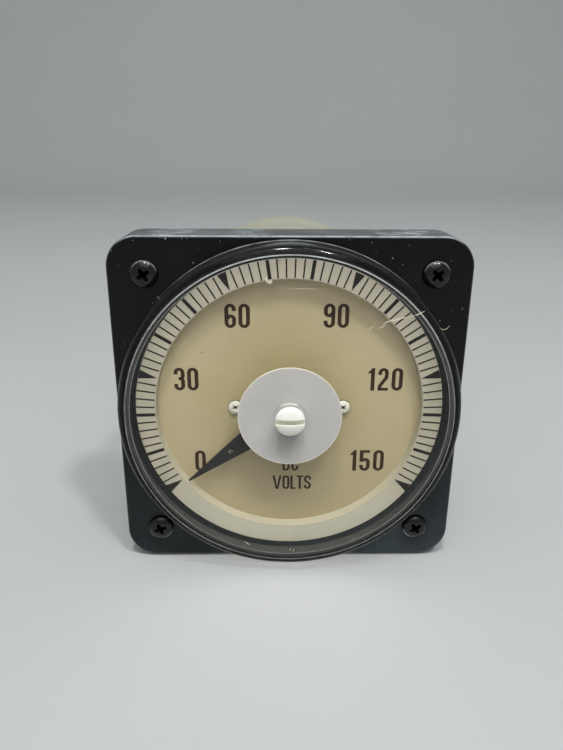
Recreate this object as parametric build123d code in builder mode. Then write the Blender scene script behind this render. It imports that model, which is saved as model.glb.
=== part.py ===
from build123d import *
import os
from math import cos, radians, sin, sqrt, tan

# Analog panel meter: a round long-scale voltmeter, 0 to 150, behind a square black bezel.
# The pointer turns about the Y axis, the front looks along -Y and +Z is up.
# The origin lies on the panel, in the middle of the bezel's rear face.
# Lengths are in millimetres, angles in degrees, clockwise from straight up seen from the front.

os.makedirs("parts", exist_ok=True)

# One overrun for every cut that passes through a face
overrun = 1.0

# Bezel: a square frame that stands on the panel
bezel_side = 108.0
bezel_depth = 15.0
bezel_corner_radius = 9.5
bezel_edge_radius = 0.8
bezel_front_wall = 2.5
bezel_skirt_wall = 2.3
bezel_boss_radius = 5.0
bezel_boss_height = 2.0
bezel_rib_thickness = 1.4
fastening_inset = 11.15
fastening_pitch = bezel_side - 2 * fastening_inset

# Clear cover, a shallow cup that stands in a groove of the bezel
cover_margin = 1.1
cover_height = 8.7
cover_wall = 2.2
cover_draft = 0.4
cover_edge_radius = 2.5
cover_seat_depth = 0.6
cover_seat_clearance = 0.15
cover_boss_margin = 0.9
cover_boss_height = 0.4
bezel_land = 2.1

# Pan-head screws with a cross recess
cover_screw_head_radius = 4.1
cover_screw_head_height = 2.3
cover_screw_radius = 1.7
cover_screw_reach = 5.0
cover_screw_clearance = 0.3
dial_screw_head_radius = 2.35
dial_screw_head_height = 1.3
dial_screw_radius = 1.1
dial_screw_reach = 4.0
recess_span_share = 1.15
recess_width_share = 0.25
recess_depth_share = 0.6
head_edge_share = 0.55
thread_clearance = 0.05

# Mounting plate and its studs
plate_thickness = 2.0
plate_clearance = 0.2
plate_bore_radius = 5.0
stud_radius = 2.415
stud_neck_radius = 2.6
stud_reach = 25.0
stud_tip_chamfer = 0.5
stud_hex_flats = 9.0
stud_tapping_extra = 1.0

# Dial and the raised scale ring
dial_recess = 2.7
dial_thickness = 1.0
dial_bore_radius = 8.0
dial_edge_gap = 0.7
ring_width = 6.1
ring_rise = 3.55
ring_bevel = 0.3
dial_screw_inset = 17.1
dial_post_radius = 2.5
post_spigot_share = 0.55

# Scale marks, a thin print on the ring
scale_sweep = 250.0
scale_divisions = 75
divisions_per_heavy = 5
divisions_per_triangle = 15
thin_mark_width = 0.45
heavy_mark_width = 1.05
triangle_base = 2.9
mark_thickness = 0.05
mark_margin = 0.3

# Grey centre disc over the front bridge
disc_radius = 16.0
disc_thickness = 0.5
disc_cover_gap = 0.7
disc_bore_clearance = 0.6
disc_post_radius = 1.2
disc_post_place = 7.5

# Zero adjuster, a white slotted knob that turns in the cover
knob_radius = 4.6
knob_height = 1.95
knob_lift = 0.15
knob_dome = 0.8
knob_bevel = 0.3
knob_slot_width = 1.2
knob_slot_depth = 1.4
adjuster_radius = 3.0
adjuster_clearance = 0.06
adjuster_past_disc = 0.4
snap_ridge_height = 0.35
snap_ridge_thickness = 0.4
snap_ridge_play = 0.15
drive_pin_radius = 0.5
drive_pin_place = 2.2
drive_pin_past_lever = 0.1

# Zero lever and front bridge
stack_gap = 0.35
lever_thickness = 0.5
lever_hub_radius = 3.3
lever_arm_width = 1.8
lever_slot_clearance = 0.1
lever_tab_thickness = 0.5
spring_seat_gap = 0.3
bridge_thickness = 1.0
bridge_nose_radius = 3.4
bridge_post_radius = 1.7
bridge_post_place = 11.6
bridge_post_angle = 25.0
bridge_post_rim = 1.1
bridge_post_clearance = 0.4
bridge_screw_head_radius = 1.6
bridge_screw_head_height = 0.9
bridge_screw_radius = 0.9
bridge_screw_reach = 4.0
jewel_screw_radius = 1.2
jewel_screw_play = 0.05
jewel_screw_lift = 0.4
jewel_radius = 0.6
jewel_height = 0.6
jewel_clearance = 0.02
pivot_cup_share = 0.7

# Hairsprings, flat spirals of thin strip
spring_width = 0.7
spring_strip = 0.2
spring_inner_radius = 2.2
spring_outer_radius = 7.2
spring_half_turns = 8

# Moving system
pointer_rest_angle = -127.3
pointer_tip_gap = 0.9
pointer_thickness = 0.45
pointer_tip_width = 0.5
pointer_root_width = 7.2
pointer_root_place = 14.5
pointer_neck_width = 3.0
pointer_neck_reach = 10.5
pointer_tail_reach = 7.4
hub_radius = 2.8
hub_height = 2.2
staff_radius = 0.8
pivot_radius = 0.18
pivot_length = 0.9
pivot_gap = 0.06
staff_fit = 0.02

# Magnet system behind the mounting plate
pole_standoff = 7.0
pole_thickness = 12.0
pole_outer_radius = 27.0
core_inner_radius = 8.5
core_outer_radius = 15.2
core_step = 1.0
core_slit_width = 3.0
core_slit_angle = 141.0
core_foot_width = 14.0
core_foot_reach = 25.0
coil_gap = 0.5
coil_width = 2.8
coil_winding_depth = 0.9
former_thickness = 0.3
former_width = 3.2
magnet_width = 15.0
yoke_case_gap = 1.6
window_side_gap = 4.0
yoke_side_wall = 6.0
yoke_bottom_wall = 5.0
pole_fillet_radius = 1.5
spacer_radius = 3.2
spacer_screw_radius = 1.5
spacer_screw_clearance = 0.2
spacer_screw_head_radius = 3.0
spacer_screw_head_height = 2.0
strap_height = 6.0
strap_thickness = 1.5
strap_place = 22.0
strap_screw_radius = 1.0
strap_screw_head_radius = 1.9
strap_screw_head_height = 1.1
strap_screw_reach = 4.0

# Coil arms, balance weights and rear bridge
arm_thickness = 0.8
arm_width = 3.0
arm_head_radius = 2.6
weight_place = 12.5
weight_radius = 2.4
weight_length = 4.0
rear_bridge_gap = 0.7
rear_bridge_thickness = 1.5
rear_bridge_width = 7.0
rear_bridge_post_place = 22.0
rear_bridge_post_radius = 2.6
rear_bridge_screw_head_radius = 2.1
rear_bridge_screw_head_height = 1.3
rear_bridge_screw_radius = 1.2
rear_bridge_screw_reach = 5.0
rear_bridge_screw_clearance = 0.2

# Rear case
case_margin = 5.1
case_reach = 86.5
case_wall = 1.8
case_rear_wall = 2.2
case_edge_radius = 2.0
gasket_thickness = 1.0
case_post_gap = 2.4
case_post_radius = 3.2
case_post_bore_radius = 1.6
case_screw_head_radius = 3.4
case_screw_head_height = 2.2
case_screw_reach = 8.0

# Series resistor board behind the movement
board_place = 48.0
board_thickness = 1.6
board_case_gap = 1.9
board_height = 28.0
board_corner_radius = 4.0
bobbin_place = 16.0
bobbin_flange_radius = 8.5
bobbin_core_radius = 4.0
bobbin_flange_thickness = 1.2
bobbin_height = 14.0
winding_radius = 7.4
bobbin_screw_radius = 1.4
bobbin_screw_head_radius = 2.6
bobbin_screw_head_height = 1.8
bobbin_nut_flats = 5.5
bobbin_nut_height = 2.2
eyelet_place = 27.0
eyelet_radius = 1.8
eyelet_tube_radius = 1.2
eyelet_height = 0.5

# Terminals at the rear
terminal_pitch = 38.1
terminal_drop = 12.0
terminal_radius = 3.175
terminal_head_flats = 11.0
terminal_head_height = 3.0
terminal_reach = 24.0
insulator_radius = 8.0
insulator_thickness = 2.0
insulator_tube_radius = 4.6
insulator_fit = 0.1
inner_washer_radius = 7.5
washer_radius = 7.0
washer_thickness = 1.0
nut_flats = 11.1
nut_height = 5.0
nut_chamfer = 0.6

# Leads inside the case
lead_radius = 0.8
lead_bend_radius = 3.5
terminal_lead_offset = 3.0
terminal_lead_rise = 8.3
bridge_lead_place = 14.0
bridge_lead_rise = 12.0
plate_lead_gap = 4.0
plate_lead_drop = 9.0
plate_lead_rise = 8.0


def facing(depth):
    """A plane parallel to the panel at this depth, drawn as it is seen from the front."""
    return Plane.XZ.offset(-depth)


def backing(depth):
    """A plane parallel to the panel at this depth, drawn as it is seen from behind."""
    return Plane(origin=(0, depth, 0), x_dir=(-1, 0, 0), z_dir=(0, 1, 0))


def pointing(depth, angle):
    """A front-facing plane whose x axis points at this angle of the scale."""
    turn = radians(angle)
    return Plane(origin=(0, depth, 0), x_dir=(sin(turn), 0, cos(turn)), z_dir=(0, -1, 0))


def radial_section(angle):
    """A plane through the pointer's axis: x is the radius at this angle, y is the depth."""
    turn = radians(angle)
    return Plane(origin=(0, 0, 0), x_dir=(sin(turn), 0, cos(turn)), z_dir=(-cos(turn), 0, sin(turn)))


def on_circle(radius, angle):
    """The place at this radius and this angle of the scale, as seen from the front."""
    return (radius * sin(radians(angle)), radius * cos(radians(angle)))


def cross_screw(head_radius, head_height, shank_radius, reach):
    """A pan-head screw along z, with the underside of its head at zero."""
    with BuildPart() as screw:
        with BuildSketch():
            Circle(head_radius)
        extrude(amount=head_height)
        fillet(screw.edges().sort_by(Axis.Z)[-1], radius=head_edge_share * head_height)
        with BuildSketch(Plane.XY.offset(head_height)):
            Rectangle(recess_span_share * head_radius, recess_width_share * head_radius)
            Rectangle(recess_width_share * head_radius, recess_span_share * head_radius)
        extrude(amount=-recess_depth_share * head_height, mode=Mode.SUBTRACT)
        with BuildSketch():
            Circle(shank_radius)
        extrude(amount=-reach)
    return screw.part


def turned_post(radius, height, spigot_radius, spigot_reach, bore_radius, bore_depth):
    """A round post that stands on zero, with a spigot below and a tapped bore in its top."""
    with BuildPart() as post:
        with BuildSketch():
            Circle(radius)
        extrude(amount=height)
        with BuildSketch():
            Circle(spigot_radius)
        extrude(amount=-spigot_reach)
        with BuildSketch(Plane.XY.offset(height)):
            Circle(bore_radius)
        extrude(amount=-bore_depth, mode=Mode.SUBTRACT)
    return post.part


def hex_nut(flats, height, bore_radius):
    """A chamfered hexagon nut that stands on zero."""
    with BuildPart() as nut:
        with BuildSketch():
            RegularPolygon(radius=flats / 2, side_count=6, major_radius=False)
            Circle(bore_radius, mode=Mode.SUBTRACT)
        extrude(amount=height)
        crown_slope = nut_chamfer / tan(radians(30))
        with BuildSketch(Plane.XZ):
            with BuildLine():
                Polyline(
                    (0, 0),
                    (flats / 2 + crown_slope, 0),
                    (flats / 2 + crown_slope, height - nut_chamfer),
                    (flats / 2, height),
                    (0, height),
                    close=True,
                )
            make_face()
        revolve(axis=Axis.Z, mode=Mode.INTERSECT)
    return nut.part


def hairspring():
    """A flat spiral strip that stands on zero, from its inner end to its outer end on +x."""
    step = (spring_outer_radius - spring_inner_radius) / spring_half_turns
    with BuildPart() as spring:
        with BuildSketch():
            with BuildLine():
                for half_turn in range(spring_half_turns):
                    start = spring_inner_radius + half_turn * step
                    side = 1 if half_turn % 2 == 0 else -1
                    middle = -side * step / 2
                    bend = start + step / 2
                    for edge in (-spring_strip / 2, spring_strip / 2):
                        CenterArc((middle, 0), bend + edge, 90 - 90 * side, 180)
                for end in (spring_inner_radius, spring_outer_radius):
                    Line((end - spring_strip / 2, 0), (end + spring_strip / 2, 0))
            make_face()
        extrude(amount=spring_width)
    return spring.part


# Depths of the fixed faces, from the panel forwards
bezel_front = -bezel_depth
boss_rear = bezel_front + bezel_front_wall + bezel_boss_height
plate_front = -plate_thickness
cover_front = bezel_front - cover_height
cover_inner = cover_front + cover_wall
cover_foot = bezel_front + cover_seat_depth
dial_face = bezel_front + dial_recess
dial_rear = dial_face + dial_thickness
ring_face = dial_face - ring_rise

# Radii of the cover, its opening and the dial
cover_base_radius = bezel_side / 2 - cover_margin
cover_top_radius = cover_base_radius - cover_draft
bezel_opening_radius = cover_base_radius - cover_wall - bezel_land
ring_outer_radius = bezel_opening_radius - dial_edge_gap
ring_inner_radius = ring_outer_radius - ring_width
pointer_tip_radius = ring_inner_radius - pointer_tip_gap

# Depths of the stack under the disc, from the cover backwards
disc_front = cover_inner + disc_cover_gap
disc_rear = disc_front + disc_thickness
adjuster_end = disc_rear + adjuster_past_disc
front_jewel_face = adjuster_end + stack_gap
lever_front = front_jewel_face + stack_gap
lever_rear = lever_front + lever_thickness
bridge_front = lever_rear + stack_gap
bridge_rear = bridge_front + bridge_thickness
front_jewel_end = bridge_rear + jewel_screw_lift
front_spring_front = front_jewel_end + stack_gap
front_spring_rear = front_spring_front + spring_width
pointer_front = front_spring_rear + stack_gap
pointer_rear = pointer_front + pointer_thickness

# Depths behind the plate
pole_front = pole_standoff
pole_rear = pole_front + pole_thickness
core_front = pole_front + core_step
core_rear = pole_rear - core_step
former_front = core_front - coil_gap - former_thickness
former_rear = core_rear + coil_gap + former_thickness
winding_front = former_front - coil_winding_depth
winding_rear = former_rear + coil_winding_depth
front_arm_front = winding_front - arm_thickness
rear_arm_rear = winding_rear + arm_thickness
rear_bridge_front = rear_arm_rear + weight_length + stack_gap
rear_spring_rear = rear_bridge_front - rear_bridge_gap
rear_spring_front = rear_spring_rear - spring_width
rear_bridge_rear = rear_bridge_front + rear_bridge_thickness
rear_jewel_end = rear_bridge_front - jewel_screw_lift
case_front = gasket_thickness
case_inner = case_reach - case_rear_wall
board_rear = board_place + board_thickness

# Radii of the case, and what fits inside it
case_radius = bezel_side / 2 - case_margin
case_inner_radius = case_radius - case_wall
case_post_place = case_inner_radius - case_post_gap - case_post_radius
board_width = 2 * (case_inner_radius - board_case_gap)

# Radii of the coil and of the gap that it turns in
former_inner_place = core_inner_radius - coil_gap - former_thickness
former_outer_place = core_outer_radius + coil_gap + former_thickness
winding_outer_place = former_outer_place + coil_winding_depth
pole_inner_radius = winding_outer_place + coil_gap
window_width = magnet_width + 2 * window_side_gap
yoke_width = window_width + 2 * yoke_side_wall
yoke_end = sqrt((case_inner_radius - yoke_case_gap) ** 2 - (yoke_width / 2) ** 2)
window_end = yoke_end - yoke_bottom_wall
magnet_height = window_end - core_foot_reach
strap_end = strap_place + strap_height / 2

# Radii of the hairsprings' collets and of the tabs that hold their outer ends
collet_radius = spring_inner_radius - spring_strip / 2 - spring_seat_gap
tab_inner_place = spring_outer_radius + spring_strip / 2 + spring_seat_gap
lever_arm_reach = tab_inner_place + lever_tab_thickness

# Places of the small fasteners, as seen from the front
dial_post_places = [(-dial_screw_inset, 0), (dial_screw_inset, 0)]
bridge_post_places = [on_circle(bridge_post_place, 180 + side * bridge_post_angle) for side in (-1, 1)]
disc_post_places = [on_circle(disc_post_place, 180 + side * bridge_post_angle) for side in (-1, 1)]
spacer_circle = (pole_inner_radius + pole_outer_radius) / 2
spacer_upper = on_circle(spacer_circle, 45)
spacer_lower = ((window_width + yoke_side_wall) / 2, -(strap_end + yoke_end) / 2)
spacer_places = [(side * x, z) for x, z in (spacer_upper, spacer_lower) for side in (-1, 1)]
strap_screw_places = [
    (side * (window_width + yoke_side_wall) / 2, -strap_place) for side in (-1, 0, 1)
]
case_post_places = [(-case_post_place, 0), (case_post_place, 0)]
rear_bridge_post_places = [(-rear_bridge_post_place, 0), (rear_bridge_post_place, 0)]
terminal_places = [(-terminal_pitch / 2, -terminal_drop), (terminal_pitch / 2, -terminal_drop)]
bobbin_places = [(-bobbin_place, 0), (bobbin_place, 0)]
eyelet_places = [(-eyelet_place, 0), (eyelet_place, 0)]

# Bezel
with BuildPart() as bezel:
    with BuildSketch(facing(0)):
        RectangleRounded(bezel_side, bezel_side, bezel_corner_radius)
    extrude(amount=bezel_depth)
    fillet(bezel.faces().sort_by(Axis.Y)[0].edges(), radius=bezel_edge_radius)
    skirt_inside = bezel_side - 2 * bezel_skirt_wall
    with BuildSketch(facing(0)):
        RectangleRounded(skirt_inside, skirt_inside, bezel_corner_radius - bezel_skirt_wall)
    extrude(amount=bezel_depth - bezel_front_wall, mode=Mode.SUBTRACT)
    with BuildSketch(facing(boss_rear)):
        with GridLocations(fastening_pitch, fastening_pitch, 2, 2):
            Circle(bezel_boss_radius)
            Rectangle(2 * fastening_inset - bezel_skirt_wall, bezel_rib_thickness)
            Rectangle(bezel_rib_thickness, 2 * fastening_inset - bezel_skirt_wall)
    extrude(amount=bezel_boss_height + bezel_front_wall / 2)
    with BuildSketch(facing(boss_rear)):
        Circle(bezel_opening_radius)
        with GridLocations(fastening_pitch, fastening_pitch, 2, 2):
            Circle(cover_screw_radius + cover_screw_clearance)
    extrude(amount=bezel_boss_height + bezel_front_wall + overrun, mode=Mode.SUBTRACT)
    with BuildSketch(facing(cover_foot)):
        Circle(cover_base_radius + cover_seat_clearance)
        Circle(cover_base_radius - cover_wall - cover_seat_clearance, mode=Mode.SUBTRACT)
    extrude(amount=cover_seat_depth + overrun, mode=Mode.SUBTRACT)
bezel.part.label = "bezel"
export_step(bezel.part, "parts/bezel.step")

# Clear cover
cover_bore_radius = adjuster_radius + adjuster_clearance
cover_corner_radius = cover_edge_radius - cover_wall / 2
cover_boss_radius = knob_radius + cover_boss_margin
with BuildPart() as cover:
    with BuildSketch(Plane.YZ):
        with BuildLine():
            outer_foot = (cover_foot, cover_base_radius)
            outer_shoulder = (cover_front + cover_edge_radius, cover_top_radius)
            face_edge = (cover_front, cover_top_radius - cover_edge_radius)
            Line(outer_foot, outer_shoulder)
            RadiusArc(outer_shoulder, face_edge, -cover_edge_radius)
            inner_face_edge = (cover_inner, cover_top_radius - cover_wall - cover_corner_radius)
            inner_shoulder = (cover_inner + cover_corner_radius, cover_top_radius - cover_wall)
            Polyline(
                face_edge,
                (cover_front, cover_boss_radius),
                (cover_front - cover_boss_height, cover_boss_radius),
                (cover_front - cover_boss_height, cover_bore_radius),
                (cover_inner, cover_bore_radius),
                inner_face_edge,
            )
            RadiusArc(inner_face_edge, inner_shoulder, cover_corner_radius)
            Polyline(inner_shoulder, (cover_foot, cover_base_radius - cover_wall), outer_foot)
        make_face()
    revolve(axis=Axis.Y)
cover.part.label = "cover"
export_step(cover.part, "parts/cover.step")

# Cover screws, each stopped at its own angle
cover_screw = cross_screw(
    cover_screw_head_radius,
    cover_screw_head_height,
    cover_screw_radius,
    bezel_front_wall + bezel_boss_height + cover_screw_reach,
)
cover_screw_turns = {(-1, 1): 38, (1, 1): 12, (-1, -1): 20, (1, -1): 33}
with BuildPart(facing(bezel_front)) as cover_screws:
    for (side, level), turn in cover_screw_turns.items():
        place = (side * fastening_pitch / 2, level * fastening_pitch / 2, 0)
        with Locations(Location(place, (0, 0, turn))):
            add(cover_screw)
cover_screws.part.label = "cover_screws"
export_step(cover_screws.part, "parts/cover_screws.step")

# Mounting plate
plate_side = bezel_side - 2 * bezel_skirt_wall - 2 * plate_clearance
plate_corner_radius = bezel_corner_radius - bezel_skirt_wall - plate_clearance
dial_spigot_radius = post_spigot_share * dial_post_radius
bridge_spigot_radius = post_spigot_share * bridge_post_radius
case_spigot_radius = post_spigot_share * case_post_radius
with BuildPart() as mounting_plate:
    with BuildSketch(facing(0)):
        RectangleRounded(plate_side, plate_side, plate_corner_radius)
        Circle(plate_bore_radius, mode=Mode.SUBTRACT)
        with GridLocations(fastening_pitch, fastening_pitch, 2, 2):
            Circle(stud_neck_radius + thread_clearance, mode=Mode.SUBTRACT)
        with Locations(*dial_post_places):
            Circle(dial_spigot_radius + thread_clearance, mode=Mode.SUBTRACT)
        with Locations(*bridge_post_places):
            Circle(bridge_spigot_radius + thread_clearance, mode=Mode.SUBTRACT)
        with Locations(*case_post_places):
            Circle(case_spigot_radius + thread_clearance, mode=Mode.SUBTRACT)
        with Locations(*spacer_places):
            Circle(spacer_screw_radius + thread_clearance, mode=Mode.SUBTRACT)
    extrude(amount=plate_thickness)
mounting_plate.part.label = "mounting_plate"
export_step(mounting_plate.part, "parts/mounting_plate.step")

# Mounting studs, with a tapped hexagon in front for the cover screws
stud_hex_height = plate_front - boss_rear
with BuildPart() as mounting_stud:
    with BuildSketch():
        RegularPolygon(radius=stud_hex_flats / 2, side_count=6, major_radius=False)
    extrude(amount=stud_hex_height)
    with BuildSketch():
        Circle(stud_neck_radius)
    extrude(amount=-plate_thickness)
    with BuildSketch(Plane.XY.offset(-plate_thickness)):
        Circle(stud_radius)
    extrude(amount=-stud_reach)
    chamfer(mounting_stud.edges().sort_by(Axis.Z)[0], length=stud_tip_chamfer)
    with BuildSketch(Plane.XY.offset(stud_hex_height)):
        Circle(cover_screw_radius + thread_clearance)
    extrude(amount=-cover_screw_reach - stud_tapping_extra, mode=Mode.SUBTRACT)
with BuildPart(facing(plate_front)) as mounting_studs:
    with GridLocations(fastening_pitch, fastening_pitch, 2, 2):
        add(mounting_stud.part)
mounting_studs.part.label = "mounting_studs"
export_step(mounting_studs.part, "parts/mounting_studs.step")

# Dial plate
with BuildPart() as dial_plate:
    with BuildSketch(facing(dial_rear)):
        Circle(ring_outer_radius)
        Circle(dial_bore_radius, mode=Mode.SUBTRACT)
        with Locations(*dial_post_places):
            Circle(dial_screw_radius + thread_clearance, mode=Mode.SUBTRACT)
        with Locations(*bridge_post_places):
            Circle(bridge_post_radius + bridge_post_clearance, mode=Mode.SUBTRACT)
    extrude(amount=dial_thickness)
dial_plate.part.label = "dial_plate"
export_step(dial_plate.part, "parts/dial_plate.step")

# Raised scale ring
with BuildPart() as scale_ring:
    with BuildSketch(Plane.YZ):
        with BuildLine():
            Polyline(
                (dial_face, ring_outer_radius),
                (ring_face, ring_outer_radius),
                (ring_face, ring_inner_radius),
                (dial_face, ring_inner_radius - ring_bevel),
                close=True,
            )
        make_face()
    revolve(axis=Axis.Y)
scale_ring.part.label = "scale_ring"
export_step(scale_ring.part, "parts/scale_ring.step")

# Scale marks
mark_inner_radius = ring_inner_radius + mark_margin
mark_length = ring_outer_radius - mark_inner_radius - mark_thickness
division_angle = scale_sweep / scale_divisions
with BuildPart() as scale_marks:
    for division in range(scale_divisions + 1):
        angle = division * division_angle - scale_sweep / 2
        with BuildSketch(pointing(ring_face, angle)):
            if division % divisions_per_triangle == 0:
                with BuildLine():
                    Polyline(
                        (mark_inner_radius, 0),
                        (mark_inner_radius + mark_length, -triangle_base / 2),
                        (mark_inner_radius + mark_length, triangle_base / 2),
                        close=True,
                    )
                make_face()
            else:
                heavy = division % divisions_per_heavy == 0
                with Locations((mark_inner_radius + mark_length / 2, 0)):
                    Rectangle(mark_length, heavy_mark_width if heavy else thin_mark_width)
        extrude(amount=mark_thickness)
scale_marks.part.label = "scale_marks"
export_step(scale_marks.part, "parts/scale_marks.step")

# Dial posts and screws
dial_post = turned_post(
    dial_post_radius,
    plate_front - dial_rear,
    dial_spigot_radius,
    plate_thickness,
    dial_screw_radius + thread_clearance,
    dial_screw_reach + stud_tapping_extra,
)
with BuildPart(facing(plate_front)) as dial_posts:
    with Locations(*dial_post_places):
        add(dial_post)
dial_posts.part.label = "dial_posts"
export_step(dial_posts.part, "parts/dial_posts.step")

dial_screw = cross_screw(
    dial_screw_head_radius,
    dial_screw_head_height,
    dial_screw_radius,
    dial_thickness + dial_screw_reach,
)
with BuildPart(facing(dial_face)) as dial_screws:
    for place, turn in zip(dial_post_places, (35, 45)):
        with Locations(Location((*place, 0), (0, 0, turn))):
            add(dial_screw)
dial_screws.part.label = "dial_screws"
export_step(dial_screws.part, "parts/dial_screws.step")

# Grey centre disc, on two short posts of the front bridge
with BuildPart() as centre_disc:
    with BuildSketch(facing(disc_rear)):
        Circle(disc_radius)
        Circle(adjuster_radius + disc_bore_clearance, mode=Mode.SUBTRACT)
    extrude(amount=disc_thickness)
centre_disc.part.label = "centre_disc"
export_step(centre_disc.part, "parts/centre_disc.step")

with BuildPart() as disc_posts:
    with BuildSketch(facing(bridge_front)):
        with Locations(*disc_post_places):
            Circle(disc_post_radius)
    extrude(amount=bridge_front - disc_rear)
disc_posts.part.label = "disc_posts"
export_step(disc_posts.part, "parts/disc_posts.step")

# Front bridge, its posts and its screws
with BuildPart() as front_bridge:
    with BuildSketch(facing(bridge_rear)):
        Circle(bridge_nose_radius)
        with Locations(*bridge_post_places):
            Circle(bridge_post_radius + bridge_post_rim)
        make_hull()
        Circle(jewel_screw_radius + thread_clearance, mode=Mode.SUBTRACT)
        with Locations(*bridge_post_places):
            Circle(bridge_screw_radius + thread_clearance, mode=Mode.SUBTRACT)
    extrude(amount=bridge_thickness)
front_bridge.part.label = "front_bridge"
export_step(front_bridge.part, "parts/front_bridge.step")

bridge_post = turned_post(
    bridge_post_radius,
    plate_front - bridge_rear,
    bridge_spigot_radius,
    plate_thickness,
    bridge_screw_radius + thread_clearance,
    bridge_screw_reach + stud_tapping_extra,
)
with BuildPart(facing(plate_front)) as front_bridge_posts:
    with Locations(*bridge_post_places):
        add(bridge_post)
front_bridge_posts.part.label = "front_bridge_posts"
export_step(front_bridge_posts.part, "parts/front_bridge_posts.step")

bridge_screw = cross_screw(
    bridge_screw_head_radius,
    bridge_screw_head_height,
    bridge_screw_radius,
    bridge_thickness + bridge_screw_reach,
)
with BuildPart(facing(bridge_front)) as front_bridge_screws:
    with Locations(*bridge_post_places):
        add(bridge_screw)
front_bridge_screws.part.label = "front_bridge_screws"
export_step(front_bridge_screws.part, "parts/front_bridge_screws.step")

# Zero adjuster: a slotted, domed knob, a shank that snaps into the cover and a drive pin
knob_rear = cover_front - cover_boss_height - knob_lift
knob_front = knob_rear - knob_height
dome_reach = knob_radius - knob_bevel
dome_radius = (dome_reach**2 + knob_dome**2) / (2 * knob_dome)
ridge_front = cover_inner + snap_ridge_play
with BuildPart() as zero_adjuster:
    with BuildSketch(Plane.YZ):
        with BuildLine():
            dome_edge = (knob_front + knob_dome, dome_reach)
            Polyline(
                (knob_front, 0),
                (knob_rear, 0),
                (knob_rear, knob_radius),
                (knob_front + knob_dome + knob_bevel, knob_radius),
                dome_edge,
            )
            RadiusArc(dome_edge, (knob_front, 0), -dome_radius)
        make_face()
    revolve(axis=Axis.Y)
    with BuildSketch(facing(knob_front)):
        Rectangle(2 * knob_radius + overrun, knob_slot_width)
    extrude(amount=-knob_slot_depth, mode=Mode.SUBTRACT)
    with BuildSketch(facing(adjuster_end)):
        Circle(adjuster_radius)
    extrude(amount=adjuster_end - knob_rear)
    with BuildSketch(facing(ridge_front + snap_ridge_thickness)):
        Circle(adjuster_radius + snap_ridge_height)
    extrude(amount=snap_ridge_thickness)
    with BuildSketch(facing(lever_rear + drive_pin_past_lever)):
        with Locations((0, -drive_pin_place)):
            Circle(drive_pin_radius)
    extrude(amount=lever_rear + drive_pin_past_lever - adjuster_end)
zero_adjuster.part.label = "zero_adjuster"
export_step(zero_adjuster.part, "parts/zero_adjuster.step")

# Zero lever: forked for the drive pin below, with a bent tab for the hairspring above
lever_slot_width = 2 * (drive_pin_radius + lever_slot_clearance)
with BuildPart() as zero_lever:
    with BuildSketch(facing(lever_rear)):
        Circle(lever_hub_radius)
        with Locations((0, lever_arm_reach / 2)):
            Rectangle(lever_arm_width, lever_arm_reach)
        Circle(jewel_screw_radius + jewel_screw_play, mode=Mode.SUBTRACT)
        with Locations((0, -drive_pin_place)):
            Circle(drive_pin_radius + lever_slot_clearance, mode=Mode.SUBTRACT)
        with Locations((0, -drive_pin_place - lever_hub_radius / 2)):
            Rectangle(lever_slot_width, lever_hub_radius, mode=Mode.SUBTRACT)
    extrude(amount=lever_thickness)
    with BuildSketch(facing(front_spring_rear)):
        with Locations((0, lever_arm_reach - lever_tab_thickness / 2)):
            Rectangle(lever_arm_width, lever_tab_thickness)
    extrude(amount=front_spring_rear - lever_rear)
zero_lever.part.label = "zero_lever"
export_step(zero_lever.part, "parts/zero_lever.step")

# Jewel screws: slotted, with a seat for the jewel at the inner end
with BuildPart() as jewel_screw:
    jewel_screw_length = front_jewel_end - front_jewel_face
    with BuildSketch():
        Circle(jewel_screw_radius)
    extrude(amount=jewel_screw_length)
    with BuildSketch(Plane.XY.offset(jewel_screw_length)):
        Rectangle(2 * jewel_screw_radius + overrun, jewel_radius)
    extrude(amount=-jewel_height, mode=Mode.SUBTRACT)
    with BuildSketch():
        Circle(jewel_radius + jewel_clearance)
    extrude(amount=jewel_height, mode=Mode.SUBTRACT)
with BuildPart(facing(front_jewel_end)) as front_jewel_screw:
    add(jewel_screw.part)
front_jewel_screw.part.label = "front_jewel_screw"
export_step(front_jewel_screw.part, "parts/front_jewel_screw.step")
with BuildPart(backing(rear_jewel_end)) as rear_jewel_screw:
    add(jewel_screw.part)
rear_jewel_screw.part.label = "rear_jewel_screw"
export_step(rear_jewel_screw.part, "parts/rear_jewel_screw.step")

# Pivot jewels, each with a cup for the pivot
pivot_cup_radius = pivot_radius + pivot_gap
pivot_cup_depth = pivot_cup_share * jewel_height
with BuildPart() as jewel:
    with BuildSketch():
        Circle(jewel_radius)
        Circle(pivot_cup_radius, mode=Mode.SUBTRACT)
    extrude(amount=pivot_cup_depth)
    with BuildSketch(Plane.XY.offset(pivot_cup_depth)):
        Circle(jewel_radius)
    extrude(amount=jewel_height - pivot_cup_depth)
with BuildPart(facing(front_jewel_end), backing(rear_jewel_end)) as pivot_jewels:
    add(jewel.part)
pivot_jewels.part.label = "pivot_jewels"
export_step(pivot_jewels.part, "parts/pivot_jewels.step")

# Hairsprings: the front one ends at the lever's tab, the rear one at the rear abutment
with BuildPart(pointing(front_spring_rear, 0)) as front_hairspring:
    add(hairspring())
front_hairspring.part.label = "front_hairspring"
export_step(front_hairspring.part, "parts/front_hairspring.step")
with BuildPart(pointing(rear_spring_rear, 0)) as rear_hairspring:
    add(hairspring())
rear_hairspring.part.label = "rear_hairspring"
export_step(rear_hairspring.part, "parts/rear_hairspring.step")

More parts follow.
